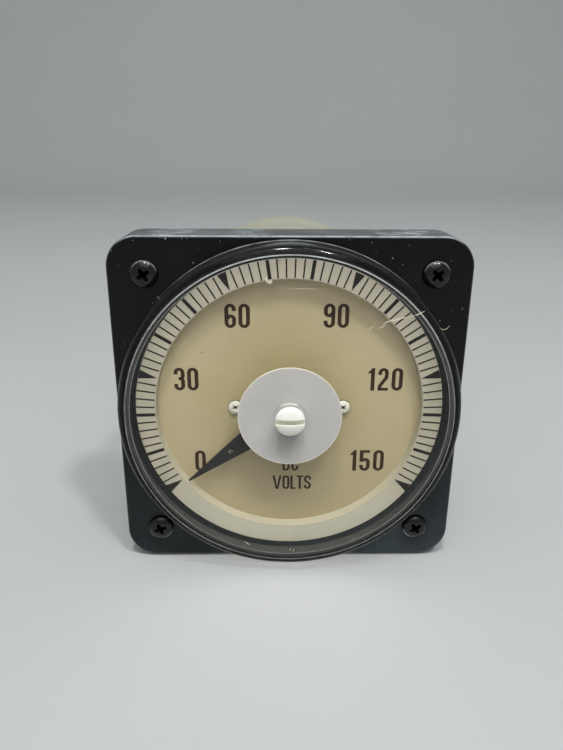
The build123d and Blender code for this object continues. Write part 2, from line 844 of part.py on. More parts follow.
# Staff with its two pivots
staff_front = front_jewel_end + pivot_gap
staff_rear = rear_jewel_end - pivot_gap
front_pivot_tip = front_jewel_end - pivot_cup_depth + pivot_gap
rear_pivot_tip = rear_jewel_end + pivot_cup_depth - pivot_gap
with BuildPart() as staff:
    with BuildSketch(Plane.YZ):
        with BuildLine():
            Polyline(
                (front_pivot_tip, 0),
                (front_pivot_tip, pivot_radius),
                (staff_front, pivot_radius),
                (staff_front + pivot_length, staff_radius),
                (staff_rear - pivot_length, staff_radius),
                (staff_rear, pivot_radius),
                (rear_pivot_tip, pivot_radius),
                (rear_pivot_tip, 0),
                close=True,
            )
        make_face()
    revolve(axis=Axis.Y)
staff.part.label = "staff"
export_step(staff.part, "parts/staff.step")

# Pointer: a tapered blade with a short tail, and the hub that carries it
with BuildPart() as pointer:
    with BuildSketch(pointing(pointer_rear, pointer_rest_angle)):
        with BuildLine():
            Polyline(
                (pointer_tip_radius, -pointer_tip_width / 2),
                (pointer_tip_radius, pointer_tip_width / 2),
                (pointer_root_place, pointer_root_width / 2),
                (pointer_neck_reach, pointer_neck_width / 2),
                (-pointer_tail_reach, pointer_neck_width / 2),
                (-pointer_tail_reach, -pointer_neck_width / 2),
                (pointer_neck_reach, -pointer_neck_width / 2),
                (pointer_root_place, -pointer_root_width / 2),
                close=True,
            )
        make_face()
        Circle(hub_radius)
        Circle(collet_radius + staff_fit, mode=Mode.SUBTRACT)
    extrude(amount=pointer_thickness)
pointer.part.label = "pointer"
export_step(pointer.part, "parts/pointer.step")

with BuildPart() as pointer_hub:
    with BuildSketch(facing(pointer_rear + hub_height)):
        Circle(hub_radius)
    extrude(amount=hub_height)
    with BuildSketch(facing(pointer_rear)):
        Circle(collet_radius)
    extrude(amount=pointer_rear - front_spring_front)
    with BuildSketch(facing(pointer_rear + hub_height)):
        Circle(staff_radius + staff_fit)
    extrude(amount=pointer_rear + hub_height - front_spring_front, mode=Mode.SUBTRACT)
pointer_hub.part.label = "pointer_hub"
export_step(pointer_hub.part, "parts/pointer_hub.step")

with BuildPart() as rear_collet:
    with BuildSketch(facing(rear_spring_rear)):
        Circle(collet_radius)
        Circle(staff_radius + staff_fit, mode=Mode.SUBTRACT)
    extrude(amount=rear_spring_rear - rear_arm_rear)
rear_collet.part.label = "rear_collet"
export_step(rear_collet.part, "parts/rear_collet.step")

# Coil former and winding, a frame round the core's section
coil_section = radial_section(pointer_rest_angle)
coil_middle = ((former_inner_place + former_outer_place) / 2, (former_front + former_rear) / 2)
former_reach = former_outer_place - former_inner_place
former_length = former_rear - former_front
with BuildPart() as coil_former:
    with BuildSketch(coil_section):
        with Locations(coil_middle):
            Rectangle(former_reach, former_length)
            Rectangle(
                former_reach - 2 * former_thickness,
                former_length - 2 * former_thickness,
                mode=Mode.SUBTRACT,
            )
    extrude(amount=former_width / 2, both=True)
coil_former.part.label = "coil_former"
export_step(coil_former.part, "parts/coil_former.step")

with BuildPart() as coil_winding:
    with BuildSketch(coil_section):
        with Locations(coil_middle):
            RectangleRounded(
                former_reach + 2 * coil_winding_depth,
                former_length + 2 * coil_winding_depth,
                coil_winding_depth / 2,
            )
            Rectangle(former_reach, former_length, mode=Mode.SUBTRACT)
    extrude(amount=coil_width / 2, both=True)
coil_winding.part.label = "coil_winding"
export_step(coil_winding.part, "parts/coil_winding.step")

# Coil arms, one on each end of the coil, with a tail for the balance weight
with BuildPart() as coil_arms:
    for arm_plane in (
        pointing(winding_front, pointer_rest_angle),
        pointing(rear_arm_rear, pointer_rest_angle),
    ):
        with BuildSketch(arm_plane):
            with Locations(((former_outer_place - weight_place) / 2, 0)):
                Rectangle(former_outer_place + weight_place, arm_width)
            Circle(arm_head_radius)
            with Locations((-weight_place, 0)):
                Circle(weight_radius)
            Circle(staff_radius + staff_fit, mode=Mode.SUBTRACT)
        extrude(amount=arm_thickness)
coil_arms.part.label = "coil_arms"
export_step(coil_arms.part, "parts/coil_arms.step")

with BuildPart() as balance_weights:
    with BuildSketch(pointing(front_arm_front, pointer_rest_angle)):
        with Locations((-weight_place, 0)):
            Circle(weight_radius)
    extrude(amount=weight_length)
    with BuildSketch(pointing(rear_arm_rear, pointer_rest_angle)):
        with Locations((-weight_place, 0)):
            Circle(weight_radius)
    extrude(amount=-weight_length)
balance_weights.part.label = "balance_weights"
export_step(balance_weights.part, "parts/balance_weights.step")

# Pole piece: a ring round the coil, closed below round the magnet
with BuildPart() as pole_piece:
    with BuildSketch(facing(pole_rear)):
        Circle(pole_outer_radius)
        with Locations((0, -yoke_end / 2)):
            RectangleRounded(yoke_width, yoke_end, pole_fillet_radius)
        Circle(pole_inner_radius, mode=Mode.SUBTRACT)
        with Locations((0, -window_end / 2)):
            Rectangle(window_width, window_end, mode=Mode.SUBTRACT)
        with Locations(*spacer_places):
            Circle(spacer_screw_radius + spacer_screw_clearance, mode=Mode.SUBTRACT)
    extrude(amount=pole_thickness)
    with BuildSketch(facing(pole_rear)):
        with Locations(strap_screw_places[0], strap_screw_places[-1]):
            Circle(strap_screw_radius + thread_clearance)
    extrude(amount=strap_screw_reach, mode=Mode.SUBTRACT)
    with BuildSketch(facing(pole_rear)):
        with Locations(*rear_bridge_post_places):
            Circle(rear_bridge_screw_radius + thread_clearance)
    extrude(amount=rear_bridge_screw_reach, mode=Mode.SUBTRACT)
pole_piece.part.label = "pole_piece"
export_step(pole_piece.part, "parts/pole_piece.step")

# Core: a slit ring inside the coil, on a foot that stands on the magnet
foot_inner = (core_inner_radius + core_outer_radius) / 2
foot_shoulder = (core_outer_radius + pole_inner_radius) / 2
with BuildPart() as core:
    with BuildSketch(facing(core_rear)):
        Circle(core_outer_radius)
        Circle(core_inner_radius, mode=Mode.SUBTRACT)
    extrude(amount=core_rear - core_front)
    with BuildSketch(pointing(core_rear, core_slit_angle)):
        with Locations((core_outer_radius / 2 + overrun, 0)):
            Rectangle(core_outer_radius, core_slit_width)
    extrude(amount=core_rear - core_front, mode=Mode.SUBTRACT)
    with BuildSketch(facing(core_rear)):
        with Locations((0, -(foot_inner + foot_shoulder) / 2)):
            Rectangle(core_foot_width, foot_shoulder - foot_inner)
    extrude(amount=core_rear - core_front)
    with BuildSketch(facing(pole_rear)):
        with Locations((0, -(foot_shoulder + core_foot_reach) / 2)):
            Rectangle(core_foot_width, core_foot_reach - foot_shoulder)
    extrude(amount=pole_thickness)
    with BuildSketch(facing(pole_rear)):
        with Locations((0, -strap_place)):
            Circle(strap_screw_radius + thread_clearance)
    extrude(amount=strap_screw_reach, mode=Mode.SUBTRACT)
core.part.label = "core"
export_step(core.part, "parts/core.step")

# Magnet, between the core's foot and the bottom of the pole piece
with BuildPart() as magnet:
    with BuildSketch(facing(pole_rear)):
        with Locations((0, -core_foot_reach - magnet_height / 2)):
            Rectangle(magnet_width, magnet_height)
    extrude(amount=pole_thickness)
magnet.part.label = "magnet"
export_step(magnet.part, "parts/magnet.step")

# Strap that holds the core in line with the pole piece
with BuildPart() as core_strap:
    with BuildSketch(facing(pole_rear + strap_thickness)):
        with Locations((0, -strap_place)):
            SlotOverall(yoke_width, strap_height)
        with Locations(*strap_screw_places):
            Circle(strap_screw_radius + thread_clearance, mode=Mode.SUBTRACT)
    extrude(amount=strap_thickness)
core_strap.part.label = "core_strap"
export_step(core_strap.part, "parts/core_strap.step")

# Spacers and long screws of the pole piece
with BuildPart() as pole_spacers:
    with BuildSketch(facing(pole_front)):
        with Locations(*spacer_places):
            Circle(spacer_radius)
            Circle(spacer_screw_radius + spacer_screw_clearance, mode=Mode.SUBTRACT)
    extrude(amount=pole_standoff)
pole_spacers.part.label = "pole_spacers"
export_step(pole_spacers.part, "parts/pole_spacers.step")

pole_screw = cross_screw(
    spacer_screw_head_radius,
    spacer_screw_head_height,
    spacer_screw_radius,
    pole_thickness + pole_standoff + plate_thickness,
)
with BuildPart(backing(pole_rear)) as pole_screws:
    with Locations(*spacer_places):
        add(pole_screw)
pole_screws.part.label = "pole_screws"
export_step(pole_screws.part, "parts/pole_screws.step")

strap_screw = cross_screw(
    strap_screw_head_radius,
    strap_screw_head_height,
    strap_screw_radius,
    strap_thickness + strap_screw_reach,
)
with BuildPart(backing(pole_rear + strap_thickness)) as strap_screws:
    with Locations(*strap_screw_places):
        add(strap_screw)
strap_screws.part.label = "strap_screws"
export_step(strap_screws.part, "parts/strap_screws.step")

# Rear bridge, with a tongue and tab for the rear hairspring
with BuildPart() as rear_bridge:
    with BuildSketch(facing(rear_bridge_rear)):
        SlotCenterToCenter(2 * rear_bridge_post_place, rear_bridge_width)
        with Locations((0, lever_arm_reach / 2)):
            Rectangle(lever_arm_width, lever_arm_reach)
        Circle(jewel_screw_radius + thread_clearance, mode=Mode.SUBTRACT)
        with Locations(*rear_bridge_post_places):
            Circle(rear_bridge_screw_radius + rear_bridge_screw_clearance, mode=Mode.SUBTRACT)
    extrude(amount=rear_bridge_thickness)
    with BuildSketch(facing(rear_bridge_front)):
        with Locations((0, lever_arm_reach - lever_tab_thickness / 2)):
            Rectangle(lever_arm_width, lever_tab_thickness)
    extrude(amount=rear_bridge_front - rear_spring_front)
rear_bridge.part.label = "rear_bridge"
export_step(rear_bridge.part, "parts/rear_bridge.step")

with BuildPart() as rear_bridge_posts:
    with BuildSketch(facing(rear_bridge_front)):
        with Locations(*rear_bridge_post_places):
            Circle(rear_bridge_post_radius)
            Circle(rear_bridge_screw_radius + rear_bridge_screw_clearance, mode=Mode.SUBTRACT)
    extrude(amount=rear_bridge_front - pole_rear)
rear_bridge_posts.part.label = "rear_bridge_posts"
export_step(rear_bridge_posts.part, "parts/rear_bridge_posts.step")

rear_bridge_screw = cross_screw(
    rear_bridge_screw_head_radius,
    rear_bridge_screw_head_height,
    rear_bridge_screw_radius,
    rear_bridge_rear - pole_rear + rear_bridge_screw_reach,
)
with BuildPart(backing(rear_bridge_rear)) as rear_bridge_screws:
    with Locations(*rear_bridge_post_places):
        add(rear_bridge_screw)
rear_bridge_screws.part.label = "rear_bridge_screws"
export_step(rear_bridge_screws.part, "parts/rear_bridge_screws.step")

# Rear case, a round cup whose rim stands on a gasket
insulator_bore_radius = terminal_radius + insulator_fit
with BuildPart() as rear_case:
    with BuildSketch(facing(case_reach)):
        Circle(case_radius)
    extrude(amount=case_reach - case_front)
    fillet(rear_case.faces().sort_by(Axis.Y)[-1].edges(), radius=case_edge_radius)
    with BuildSketch(facing(case_inner)):
        Circle(case_inner_radius)
    extrude(amount=case_inner - case_front, mode=Mode.SUBTRACT)
    with BuildSketch(facing(case_reach)):
        with Locations(*terminal_places):
            Circle(insulator_tube_radius + insulator_fit)
        with Locations(*case_post_places):
            Circle(case_post_bore_radius + insulator_fit)
    extrude(amount=case_rear_wall, mode=Mode.SUBTRACT)
rear_case.part.label = "rear_case"
export_step(rear_case.part, "parts/rear_case.step")

with BuildPart() as case_gasket:
    with BuildSketch(facing(gasket_thickness)):
        Circle(case_radius)
        Circle(case_inner_radius, mode=Mode.SUBTRACT)
    extrude(amount=gasket_thickness)
case_gasket.part.label = "case_gasket"
export_step(case_gasket.part, "parts/case_gasket.step")

# Posts between the plate, the resistor board and the rear of the case, and the case screws
inner_post = turned_post(
    case_post_radius,
    board_place,
    case_spigot_radius,
    plate_thickness,
    case_post_bore_radius + thread_clearance,
    case_screw_reach + stud_tapping_extra,
)
with BuildPart(backing(0)) as inner_posts:
    with Locations(*case_post_places):
        add(inner_post)
inner_posts.part.label = "inner_posts"
export_step(inner_posts.part, "parts/inner_posts.step")

outer_post = turned_post(
    case_post_radius,
    case_inner - board_rear,
    case_post_bore_radius,
    board_thickness + case_screw_reach,
    case_post_bore_radius + thread_clearance,
    case_screw_reach + stud_tapping_extra,
)
with BuildPart(backing(board_rear)) as outer_posts:
    with Locations(*case_post_places):
        add(outer_post)
outer_posts.part.label = "outer_posts"
export_step(outer_posts.part, "parts/outer_posts.step")

case_screw = cross_screw(
    case_screw_head_radius,
    case_screw_head_height,
    case_post_bore_radius,
    case_rear_wall + case_screw_reach,
)
with BuildPart(backing(case_reach)) as case_screws:
    with Locations(*case_post_places):
        add(case_screw)
case_screws.part.label = "case_screws"
export_step(case_screws.part, "parts/case_screws.step")

# Board with the series resistors, each wound on a flanged bobbin
with BuildPart() as resistor_board:
    with BuildSketch(facing(board_rear)):
        RectangleRounded(board_width, board_height, board_corner_radius)
        with Locations(*case_post_places):
            Circle(case_post_bore_radius + thread_clearance, mode=Mode.SUBTRACT)
        with Locations(*bobbin_places):
            Circle(bobbin_screw_radius + thread_clearance, mode=Mode.SUBTRACT)
        with Locations(*eyelet_places):
            Circle(eyelet_tube_radius + thread_clearance, mode=Mode.SUBTRACT)
    extrude(amount=board_thickness)
resistor_board.part.label = "resistor_board"
export_step(resistor_board.part, "parts/resistor_board.step")

with BuildPart() as bobbin:
    with BuildSketch(Plane.XY.offset(bobbin_flange_thickness), Plane.XY.offset(bobbin_height)):
        Circle(bobbin_flange_radius)
    extrude(amount=-bobbin_flange_thickness)
    with BuildSketch():
        Circle(bobbin_core_radius)
    extrude(amount=bobbin_height)
    with BuildSketch():
        Circle(bobbin_screw_radius + spacer_screw_clearance)
    extrude(amount=bobbin_height, mode=Mode.SUBTRACT)
with BuildPart(backing(board_rear)) as resistor_bobbins:
    with Locations(*bobbin_places):
        add(bobbin.part)
resistor_bobbins.part.label = "resistor_bobbins"
export_step(resistor_bobbins.part, "parts/resistor_bobbins.step")

with BuildPart() as resistor_windings:
    with BuildSketch(backing(board_rear + bobbin_flange_thickness)):
        with Locations(*bobbin_places):
            Circle(winding_radius)
            Circle(bobbin_core_radius + thread_clearance, mode=Mode.SUBTRACT)
    extrude(amount=bobbin_height - 2 * bobbin_flange_thickness)
resistor_windings.part.label = "resistor_windings"
export_step(resistor_windings.part, "parts/resistor_windings.step")

bobbin_screw = cross_screw(
    bobbin_screw_head_radius,
    bobbin_screw_head_height,
    bobbin_screw_radius,
    bobbin_height + board_thickness + bobbin_nut_height + stud_tapping_extra,
)
with BuildPart(backing(board_rear + bobbin_height)) as bobbin_screws:
    with Locations(*bobbin_places):
        add(bobbin_screw)
bobbin_screws.part.label = "bobbin_screws"
export_step(bobbin_screws.part, "parts/bobbin_screws.step")

bobbin_nut = hex_nut(bobbin_nut_flats, bobbin_nut_height, bobbin_screw_radius + thread_clearance)
with BuildPart(facing(board_place)) as bobbin_nuts:
    with Locations(*bobbin_places):
        add(bobbin_nut)
bobbin_nuts.part.label = "bobbin_nuts"
export_step(bobbin_nuts.part, "parts/bobbin_nuts.step")

# Terminals: studs, insulators, washers and nuts
with BuildPart() as terminal_stud:
    with BuildSketch():
        RegularPolygon(radius=terminal_head_flats / 2, side_count=6, major_radius=False)
    extrude(amount=-terminal_head_height)
    with BuildSketch():
        Circle(terminal_radius)
    extrude(amount=insulator_thickness + case_rear_wall + terminal_reach)
    chamfer(terminal_stud.edges().sort_by(Axis.Z)[-1], length=stud_tip_chamfer)
with BuildPart(backing(case_inner - insulator_thickness)) as terminal_studs:
    with Locations(*terminal_places):
        add(terminal_stud.part)
terminal_studs.part.label = "terminal_studs"
export_step(terminal_studs.part, "parts/terminal_studs.step")

with BuildPart() as terminal_insulators:
    with BuildSketch(backing(case_reach)):
        with Locations(*terminal_places):
            Circle(insulator_radius)
    extrude(amount=insulator_thickness)
    with BuildSketch(backing(case_inner)):
        with Locations(*terminal_places):
            Circle(insulator_tube_radius)
    extrude(amount=case_rear_wall)
    with BuildSketch(backing(case_inner)):
        with Locations(*terminal_places):
            Circle(insulator_bore_radius)
    extrude(amount=case_rear_wall + insulator_thickness, mode=Mode.SUBTRACT)
terminal_insulators.part.label = "terminal_insulators"
export_step(terminal_insulators.part, "parts/terminal_insulators.step")

with BuildPart() as inner_washers:
    with BuildSketch(backing(case_inner - insulator_thickness)):
        with Locations(*terminal_places):
            Circle(inner_washer_radius)
            Circle(insulator_bore_radius, mode=Mode.SUBTRACT)
    extrude(amount=insulator_thickness)
inner_washers.part.label = "inner_washers"
export_step(inner_washers.part, "parts/inner_washers.step")

clamp_washer_place = case_reach + insulator_thickness
clamp_nut_place = clamp_washer_place + washer_thickness
wire_washer_place = clamp_nut_place + nut_height
wire_nut_place = wire_washer_place + 2 * washer_thickness
with BuildPart() as washer:
    with BuildSketch():
        Circle(washer_radius)
        Circle(insulator_bore_radius, mode=Mode.SUBTRACT)
    extrude(amount=washer_thickness)
with BuildPart(backing(clamp_washer_place), backing(wire_washer_place)) as terminal_washers:
    with Locations(*terminal_places):
        add(washer.part)
terminal_washers.part.label = "terminal_washers"
export_step(terminal_washers.part, "parts/terminal_washers.step")
with BuildPart(backing(wire_washer_place + washer_thickness)) as wire_washers:
    with Locations(*terminal_places):
        add(washer.part)
wire_washers.part.label = "wire_washers"
export_step(wire_washers.part, "parts/wire_washers.step")

terminal_nut = hex_nut(nut_flats, nut_height, terminal_radius + thread_clearance)
with BuildPart(backing(clamp_nut_place), backing(wire_nut_place)) as terminal_nuts:
    with Locations(*terminal_places):
        add(terminal_nut)
terminal_nuts.part.label = "terminal_nuts"
export_step(terminal_nuts.part, "parts/terminal_nuts.step")

# Eyelets of the board, each a tube with a flange on either side
with BuildPart() as board_eyelets:
    with BuildSketch(facing(board_rear + eyelet_height)):
        with Locations(*eyelet_places):
            Circle(eyelet_radius)
    extrude(amount=eyelet_height)
    with BuildSketch(facing(board_rear)):
        with Locations(*eyelet_places):
            Circle(eyelet_tube_radius)
    extrude(amount=board_thickness)
    with BuildSketch(facing(board_place)):
        with Locations(*eyelet_places):
            Circle(eyelet_radius)
    extrude(amount=eyelet_height)
    with BuildSketch(facing(board_rear + eyelet_height)):
        with Locations(*eyelet_places):
            Circle(lead_radius + thread_clearance)
    extrude(amount=board_thickness + 2 * eyelet_height, mode=Mode.SUBTRACT)
board_eyelets.part.label = "board_eyelets"
export_step(board_eyelets.part, "parts/board_eyelets.step")


def lead(*corners):
    """A round insulated wire along these corners."""
    with BuildPart() as wire:
        with BuildLine() as route:
            FilletPolyline(*corners, radius=lead_bend_radius)
        with BuildSketch(Plane(origin=route.line @ 0, z_dir=route.line % 0)):
            Circle(lead_radius)
        sweep(path=route.line)
    return wire.part


# Leads from the terminals to the eyelets
terminal_head_face = case_inner - insulator_thickness - terminal_head_height
terminal_lead_place = terminal_pitch / 2 + terminal_lead_offset
terminal_lead_turn = terminal_head_face - terminal_lead_rise
with BuildPart() as terminal_leads:
    for side in (-1, 1):
        terminal_lead = lead(
            (side * terminal_lead_place, terminal_head_face, -terminal_drop),
            (side * terminal_lead_place, terminal_lead_turn, -terminal_drop),
            (side * eyelet_place, terminal_lead_turn, 0),
            (side * eyelet_place, board_rear, 0),
        )
        add(terminal_lead)
terminal_leads.part.label = "terminal_leads"
export_step(terminal_leads.part, "parts/terminal_leads.step")

# Leads from the eyelets to the rear bridge and, past the pole piece, to the plate
bridge_lead_turn = board_place - bridge_lead_rise
plate_lead_turn = board_place - plate_lead_rise
plate_lead_place = pole_outer_radius + plate_lead_gap
bridge_lead = lead(
    (-eyelet_place, board_place, 0),
    (-eyelet_place, bridge_lead_turn, 0),
    (-bridge_lead_place, bridge_lead_turn, 0),
    (-bridge_lead_place, rear_bridge_rear, 0),
)
plate_lead = lead(
    (eyelet_place, board_place, 0),
    (eyelet_place, plate_lead_turn, 0),
    (plate_lead_place, plate_lead_turn, -plate_lead_drop),
    (plate_lead_place, 0, -plate_lead_drop),
)
with BuildPart() as movement_leads:
    add(bridge_lead)
    add(plate_lead)
movement_leads.part.label = "movement_leads"
export_step(movement_leads.part, "parts/movement_leads.step")
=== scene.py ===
from math import atan, cos, hypot, pi, radians, sin, sqrt

import bmesh
import bpy
from mathutils import Matrix, Vector


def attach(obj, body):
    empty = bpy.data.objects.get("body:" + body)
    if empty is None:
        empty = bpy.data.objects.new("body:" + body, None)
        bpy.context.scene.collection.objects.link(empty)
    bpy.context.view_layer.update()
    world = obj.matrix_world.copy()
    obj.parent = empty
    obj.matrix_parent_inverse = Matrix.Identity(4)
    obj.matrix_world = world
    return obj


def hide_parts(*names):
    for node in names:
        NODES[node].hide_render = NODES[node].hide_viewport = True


# Analog panel meter: looks, threads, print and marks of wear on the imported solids.
# The pointer turns about the Y axis, the front looks along -Y and +Z is up.
# Sizes are in millimetres, which MM turns into metres; the studio's sizes are in metres.

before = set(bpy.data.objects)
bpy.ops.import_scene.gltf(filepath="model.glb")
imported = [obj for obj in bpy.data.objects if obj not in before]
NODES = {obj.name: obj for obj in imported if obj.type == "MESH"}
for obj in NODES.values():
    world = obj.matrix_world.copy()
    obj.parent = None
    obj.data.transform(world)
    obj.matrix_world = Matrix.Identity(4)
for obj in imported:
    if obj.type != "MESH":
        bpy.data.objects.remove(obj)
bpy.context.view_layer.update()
MM = 0.001
HOUSING = "housing"

# Depths that repeat the CAD's, from the front to the rear; the panel is at 0
KNOB_FRONT = -26.2
COVER_FRONT = -23.7
RING_FACE = -15.85
POINTER_FACE = -15.55
BEZEL_FRONT = -15.0
DIAL_FACE = -12.3
CASE_REAR = 86.5

# The bezel's half side and corner, and radii, as in the CAD
BEZEL_HALF = 54.0
BEZEL_CORNER = 9.5
CASE_RADIUS = 48.9
RING_INNER = 41.8
DISC_RADIUS = 16.0
KNOB_RADIUS = 4.6

# Radii on the cover: the edge of its face, where the painted shade of its side starts, its side, and its
# inner corner from and to
FACE_EDGE = 49.9
SIDE_SHADE_FROM = 50.1
SIDE_FROM = 51.6
INNER_CORNER = (48.6, 51.5)

# The adjuster's slot, which is wider here than in the CAD, and the rounding of its edges
SLOT_WIDTH, SLOT_DEPTH, SLOT_EDGE = 1.7, 1.45, 0.1

# Screws: radius and height of the head, reach, width and depth of the recess, radius and end of the shank
COVER_SCREW = {"head": (4.1, 2.3), "recess": (2.1, 1.65, 1.8), "shank": (1.7, -5.5)}
DIAL_SCREW = {"head": (2.35, 1.3), "recess": (1.15, 0.85, 0.95), "shank": (1.1, -7.3)}
CASE_SCREW = {"head": (3.4, 2.2), "recess": (1.95, 1.3, 1.2), "shank": (1.6, 76.3)}

# How far the screws lie from the middle; the studs lie behind the cover's screws
STUD_PLACE = 42.85
DIAL_SCREW_PLACE = 17.1
CASE_SCREW_PLACE = 41.5

# Mounting studs: width of the hexagon, its front and rear, radius of the neck, end of the thread
STUD_FLATS = 9.0
STUD_HEXAGON = (-10.5, -2.0)
STUD_NECK = 2.6
STUD_END = 25.0

# Terminals: their place, width of the hexagon, its front and rear, end of the thread
TERMINAL_PLACE = (19.05, -12.0)
TERMINAL_FLATS = 11.0
TERMINAL_HEXAGON = (79.3, 82.3)
TERMINAL_END = 110.5

# Threads: radius over the ridges, radius in the grooves, pitch
STUD_THREAD = (2.415, 2.05, 0.8)
TERMINAL_THREAD = (3.175, 2.75, 1.0)


# Materials
class Look:
    """A procedural material: one principled shader with helpers for what feeds it."""

    def __init__(self, name):
        self.mat = bpy.data.materials.new(name)
        self.mat.use_nodes = True
        self.tree = self.mat.node_tree
        self.bsdf = self.tree.nodes["Principled BSDF"]
        self.coord = self.tree.nodes.new("ShaderNodeTexCoord").outputs["Object"]

    def feed(self, socket, value):
        """Sets a socket to a constant, or links it to the node that the value comes from."""
        if isinstance(value, bpy.types.NodeSocket):
            self.tree.links.new(value, socket)
        else:
            socket.default_value = value

    def put(self, socket, value):
        self.feed(self.bsdf.inputs[socket], value)

    def fed(self, socket):
        """What a socket of the shader is linked to."""
        return self.bsdf.inputs[socket].links[0].from_socket

    def node(self, kind, inputs=None, **settings):
        made = self.tree.nodes.new(kind)
        for key, value in settings.items():
            setattr(made, key, value)
        for key, value in (inputs or {}).items():
            self.feed(made.inputs[key], value)
        return made

    def math(self, operation, a, b=0.0):
        return self.node("ShaderNodeMath", {0: a, 1: b}, operation=operation).outputs[0]

    def times(self, first, *others):
        for value in others:
            first = self.math("MULTIPLY", first, value)
        return first

    def most(self, first, *others):
        for value in others:
            first = self.math("MAXIMUM", first, value)
        return first

    def ramp(self, value, low, high, out_low=0.0, out_high=1.0):
        return self.node(
            "ShaderNodeMapRange",
            {"Value": value, "From Min": low, "From Max": high, "To Min": out_low, "To Max": out_high},
        ).outputs["Result"]

    def span(self, value, low, high, out_low=0.0, out_high=1.0):
        """A ramp over a length, which starts and ends at these millimetres."""
        return self.ramp(value, low * MM, high * MM, out_low, out_high)

    def mix(self, share, a, b):
        return self.node("ShaderNodeMix", {0: share, 6: a, 7: b}, data_type="RGBA").outputs[2]

    def noise(self, scale, detail=3.0, rough=0.5, vector=None):
        return self.node(
            "ShaderNodeTexNoise",
            {"Vector": vector or self.coord, "Scale": scale, "Detail": detail, "Roughness": rough},
        ).outputs["Fac"]

    def streaks(self, scales, detail, rough):
        """Noise drawn out along the axis with the lowest scale."""
        vector = self.node("ShaderNodeMapping", {"Vector": self.coord, "Scale": scales}).outputs[0]
        return self.noise(1.0, detail, rough, vector)

    def clouds(self, scale, dark, pale, detail=4.0, rough=0.5):
        """One colour with soft patches of another."""
        return self.mix(self.ramp(self.noise(scale, detail, rough), 0.3, 0.7), dark, pale)

    def specks(self, scale, spot, chosen):
        """Round specks in some cells of a pattern; spot is how a speck fades out, chosen picks its cells."""
        cells = self.node("ShaderNodeTexVoronoi", {"Vector": self.coord, "Scale": scale, "Randomness": 1.0})
        pick = self.node("ShaderNodeSeparateColor", {0: cells.outputs["Color"]}).outputs[0]
        return self.times(self.ramp(cells.outputs["Distance"], *spot), self.ramp(pick, *chosen))

    def axes(self):
        return tuple(self.node("ShaderNodeSeparateXYZ", {0: self.coord}).outputs)

    def beyond(self, value, place):
        """How far a coordinate lies beyond this place, on either side of the middle."""
        return self.math("SUBTRACT", self.math("ABSOLUTE", value), place * MM)

    def apart(self, value, place):
        """How far a coordinate lies from this place."""
        return self.math("ABSOLUTE", self.math("SUBTRACT", value, place * MM))

    def distance(self, a, b):
        """How far a point with these two coordinates lies from their origin."""
        return self.math("SQRT", self.math("ADD", self.times(a, a), self.times(b, b)))

    def from_axis(self):
        """The distance from the meter's axis."""
        x, _, z = self.axes()
        return self.distance(x, z)

    def ridges(self, along, pitch):
        """A wave along a coordinate, from -1 to 1, with this pitch in millimetres."""
        return self.math("SINE", self.times(along, 2 * pi / (pitch * MM)))

    def bump(self, height, strength, depth):
        """Sets the relief, as deep as this in millimetres."""
        inputs = {"Height": height, "Strength": strength, "Distance": depth * MM}
        self.put("Normal", self.node("ShaderNodeBump", inputs).outputs[0])

    def gloss(self, rough, patch, wear=0.06):
        """Sets the roughness, a little uneven."""
        uneven = self.noise(patch * 2.3, 5.0, 0.6)
        self.put("Roughness", self.ramp(uneven, 0.3, 0.7, max(0.02, rough - wear), min(1.0, rough + wear)))


def tone(red, green, blue):
    """A colour given as display values from 0 to 255, as the linear values of the shader."""
    linear = []
    for value in (red, green, blue):
        share = value / 255
        linear.append(share / 12.92 if share < 0.04045 else ((share + 0.055) / 1.055) ** 2.4)
    return (*linear, 1.0)


def shade(color, factor):
    return (*(min(1.0, part * factor) for part in color[:3]), 1.0)


def surface(name, metal=0.0, specular=0.5, grain=1500, bump=0.15, depth=0.02):
    """A look with a fine grain, or with none for a bump of 0; its colour and gloss are still to be set."""
    look = Look(name)
    look.put("Metallic", metal)
    look.put("Specular IOR Level", specular)
    if bump:
        look.bump(look.noise(grain, 3.0), bump, depth)
    return look


def plain(name, color, rough, vary=0.08, patch=120, wear=0.06, **settings):
    """Paint, moulding or metal with patches of colour, uneven gloss and a fine grain."""
    look = surface(name, **settings)
    look.put("Base Color", look.clouds(patch, shade(color, 1 - vary), shade(color, 1 + vary)))
    look.gloss(rough, patch, wear)
    return look


def turned(name, color, rough, pitch=0.35, axis=1):
    """Bare metal with fine turning or drawing marks across an axis."""
    look = plain(name, color, rough, vary=0.1, patch=200, wear=0.1, metal=1.0, bump=0.0)
    marks = look.ridges(look.axes()[axis], pitch)
    look.bump(look.times(marks, look.noise(600, 2.0)), 0.25, 0.01)
    return look


def wound(name, color, wire):
    """Fine wire in layers: ridges across the meter's axis, a little uneven."""
    look = surface(name, metal=0.35, bump=0.0)
    look.gloss(0.38, 300)
    wander = look.times(look.noise(180, 2.0), 0.6 * wire * MM)
    turns = look.ridges(look.math("ADD", look.axes()[1], wander), wire)
    look.bump(turns, 0.8, 0.12 * wire)
    # The colour follows the ridges: painted shade in the grooves between turns and a painted highlight on
    # their crests.
    look.put("Base Color", look.mix(look.ramp(turns, -1, 1), shade(color, 0.55), shade(color, 1.2)))
    return look


def top_scuffs_and_sheen(look):
    """Scuffs on the bezel's top face, in three stretches, with a painted sheen of reflected light between
    them.
    """
    x, _, z = look.axes()
    top = look.span(z, BEZEL_HALF - 0.8, BEZEL_HALF - 0.3)
    scratched = look.ramp(look.streaks((260, 900, 900), 6.0, 0.65), 0.42, 0.58)
    ragged = look.times(scratched, look.ramp(look.noise(140, 4.0, 0.6), 0.36, 0.56))
    stretches = []
    for middle, half in ((-35.0, 9.0), (-12.5, 6.0), (35.6, 12.5)):
        stretches.append(look.span(look.apart(x, middle), 1.5 * half, 0.2 * half))
    # Painted sheen: a pale haze over the whole top face that stands for reflected light.
    painted_sheen = look.ramp(look.noise(55, 5.0, 0.6), 0.35, 0.75, 0.05, 0.4)
    return look.most(look.times(top, look.most(*stretches), ragged), look.times(top, painted_sheen))


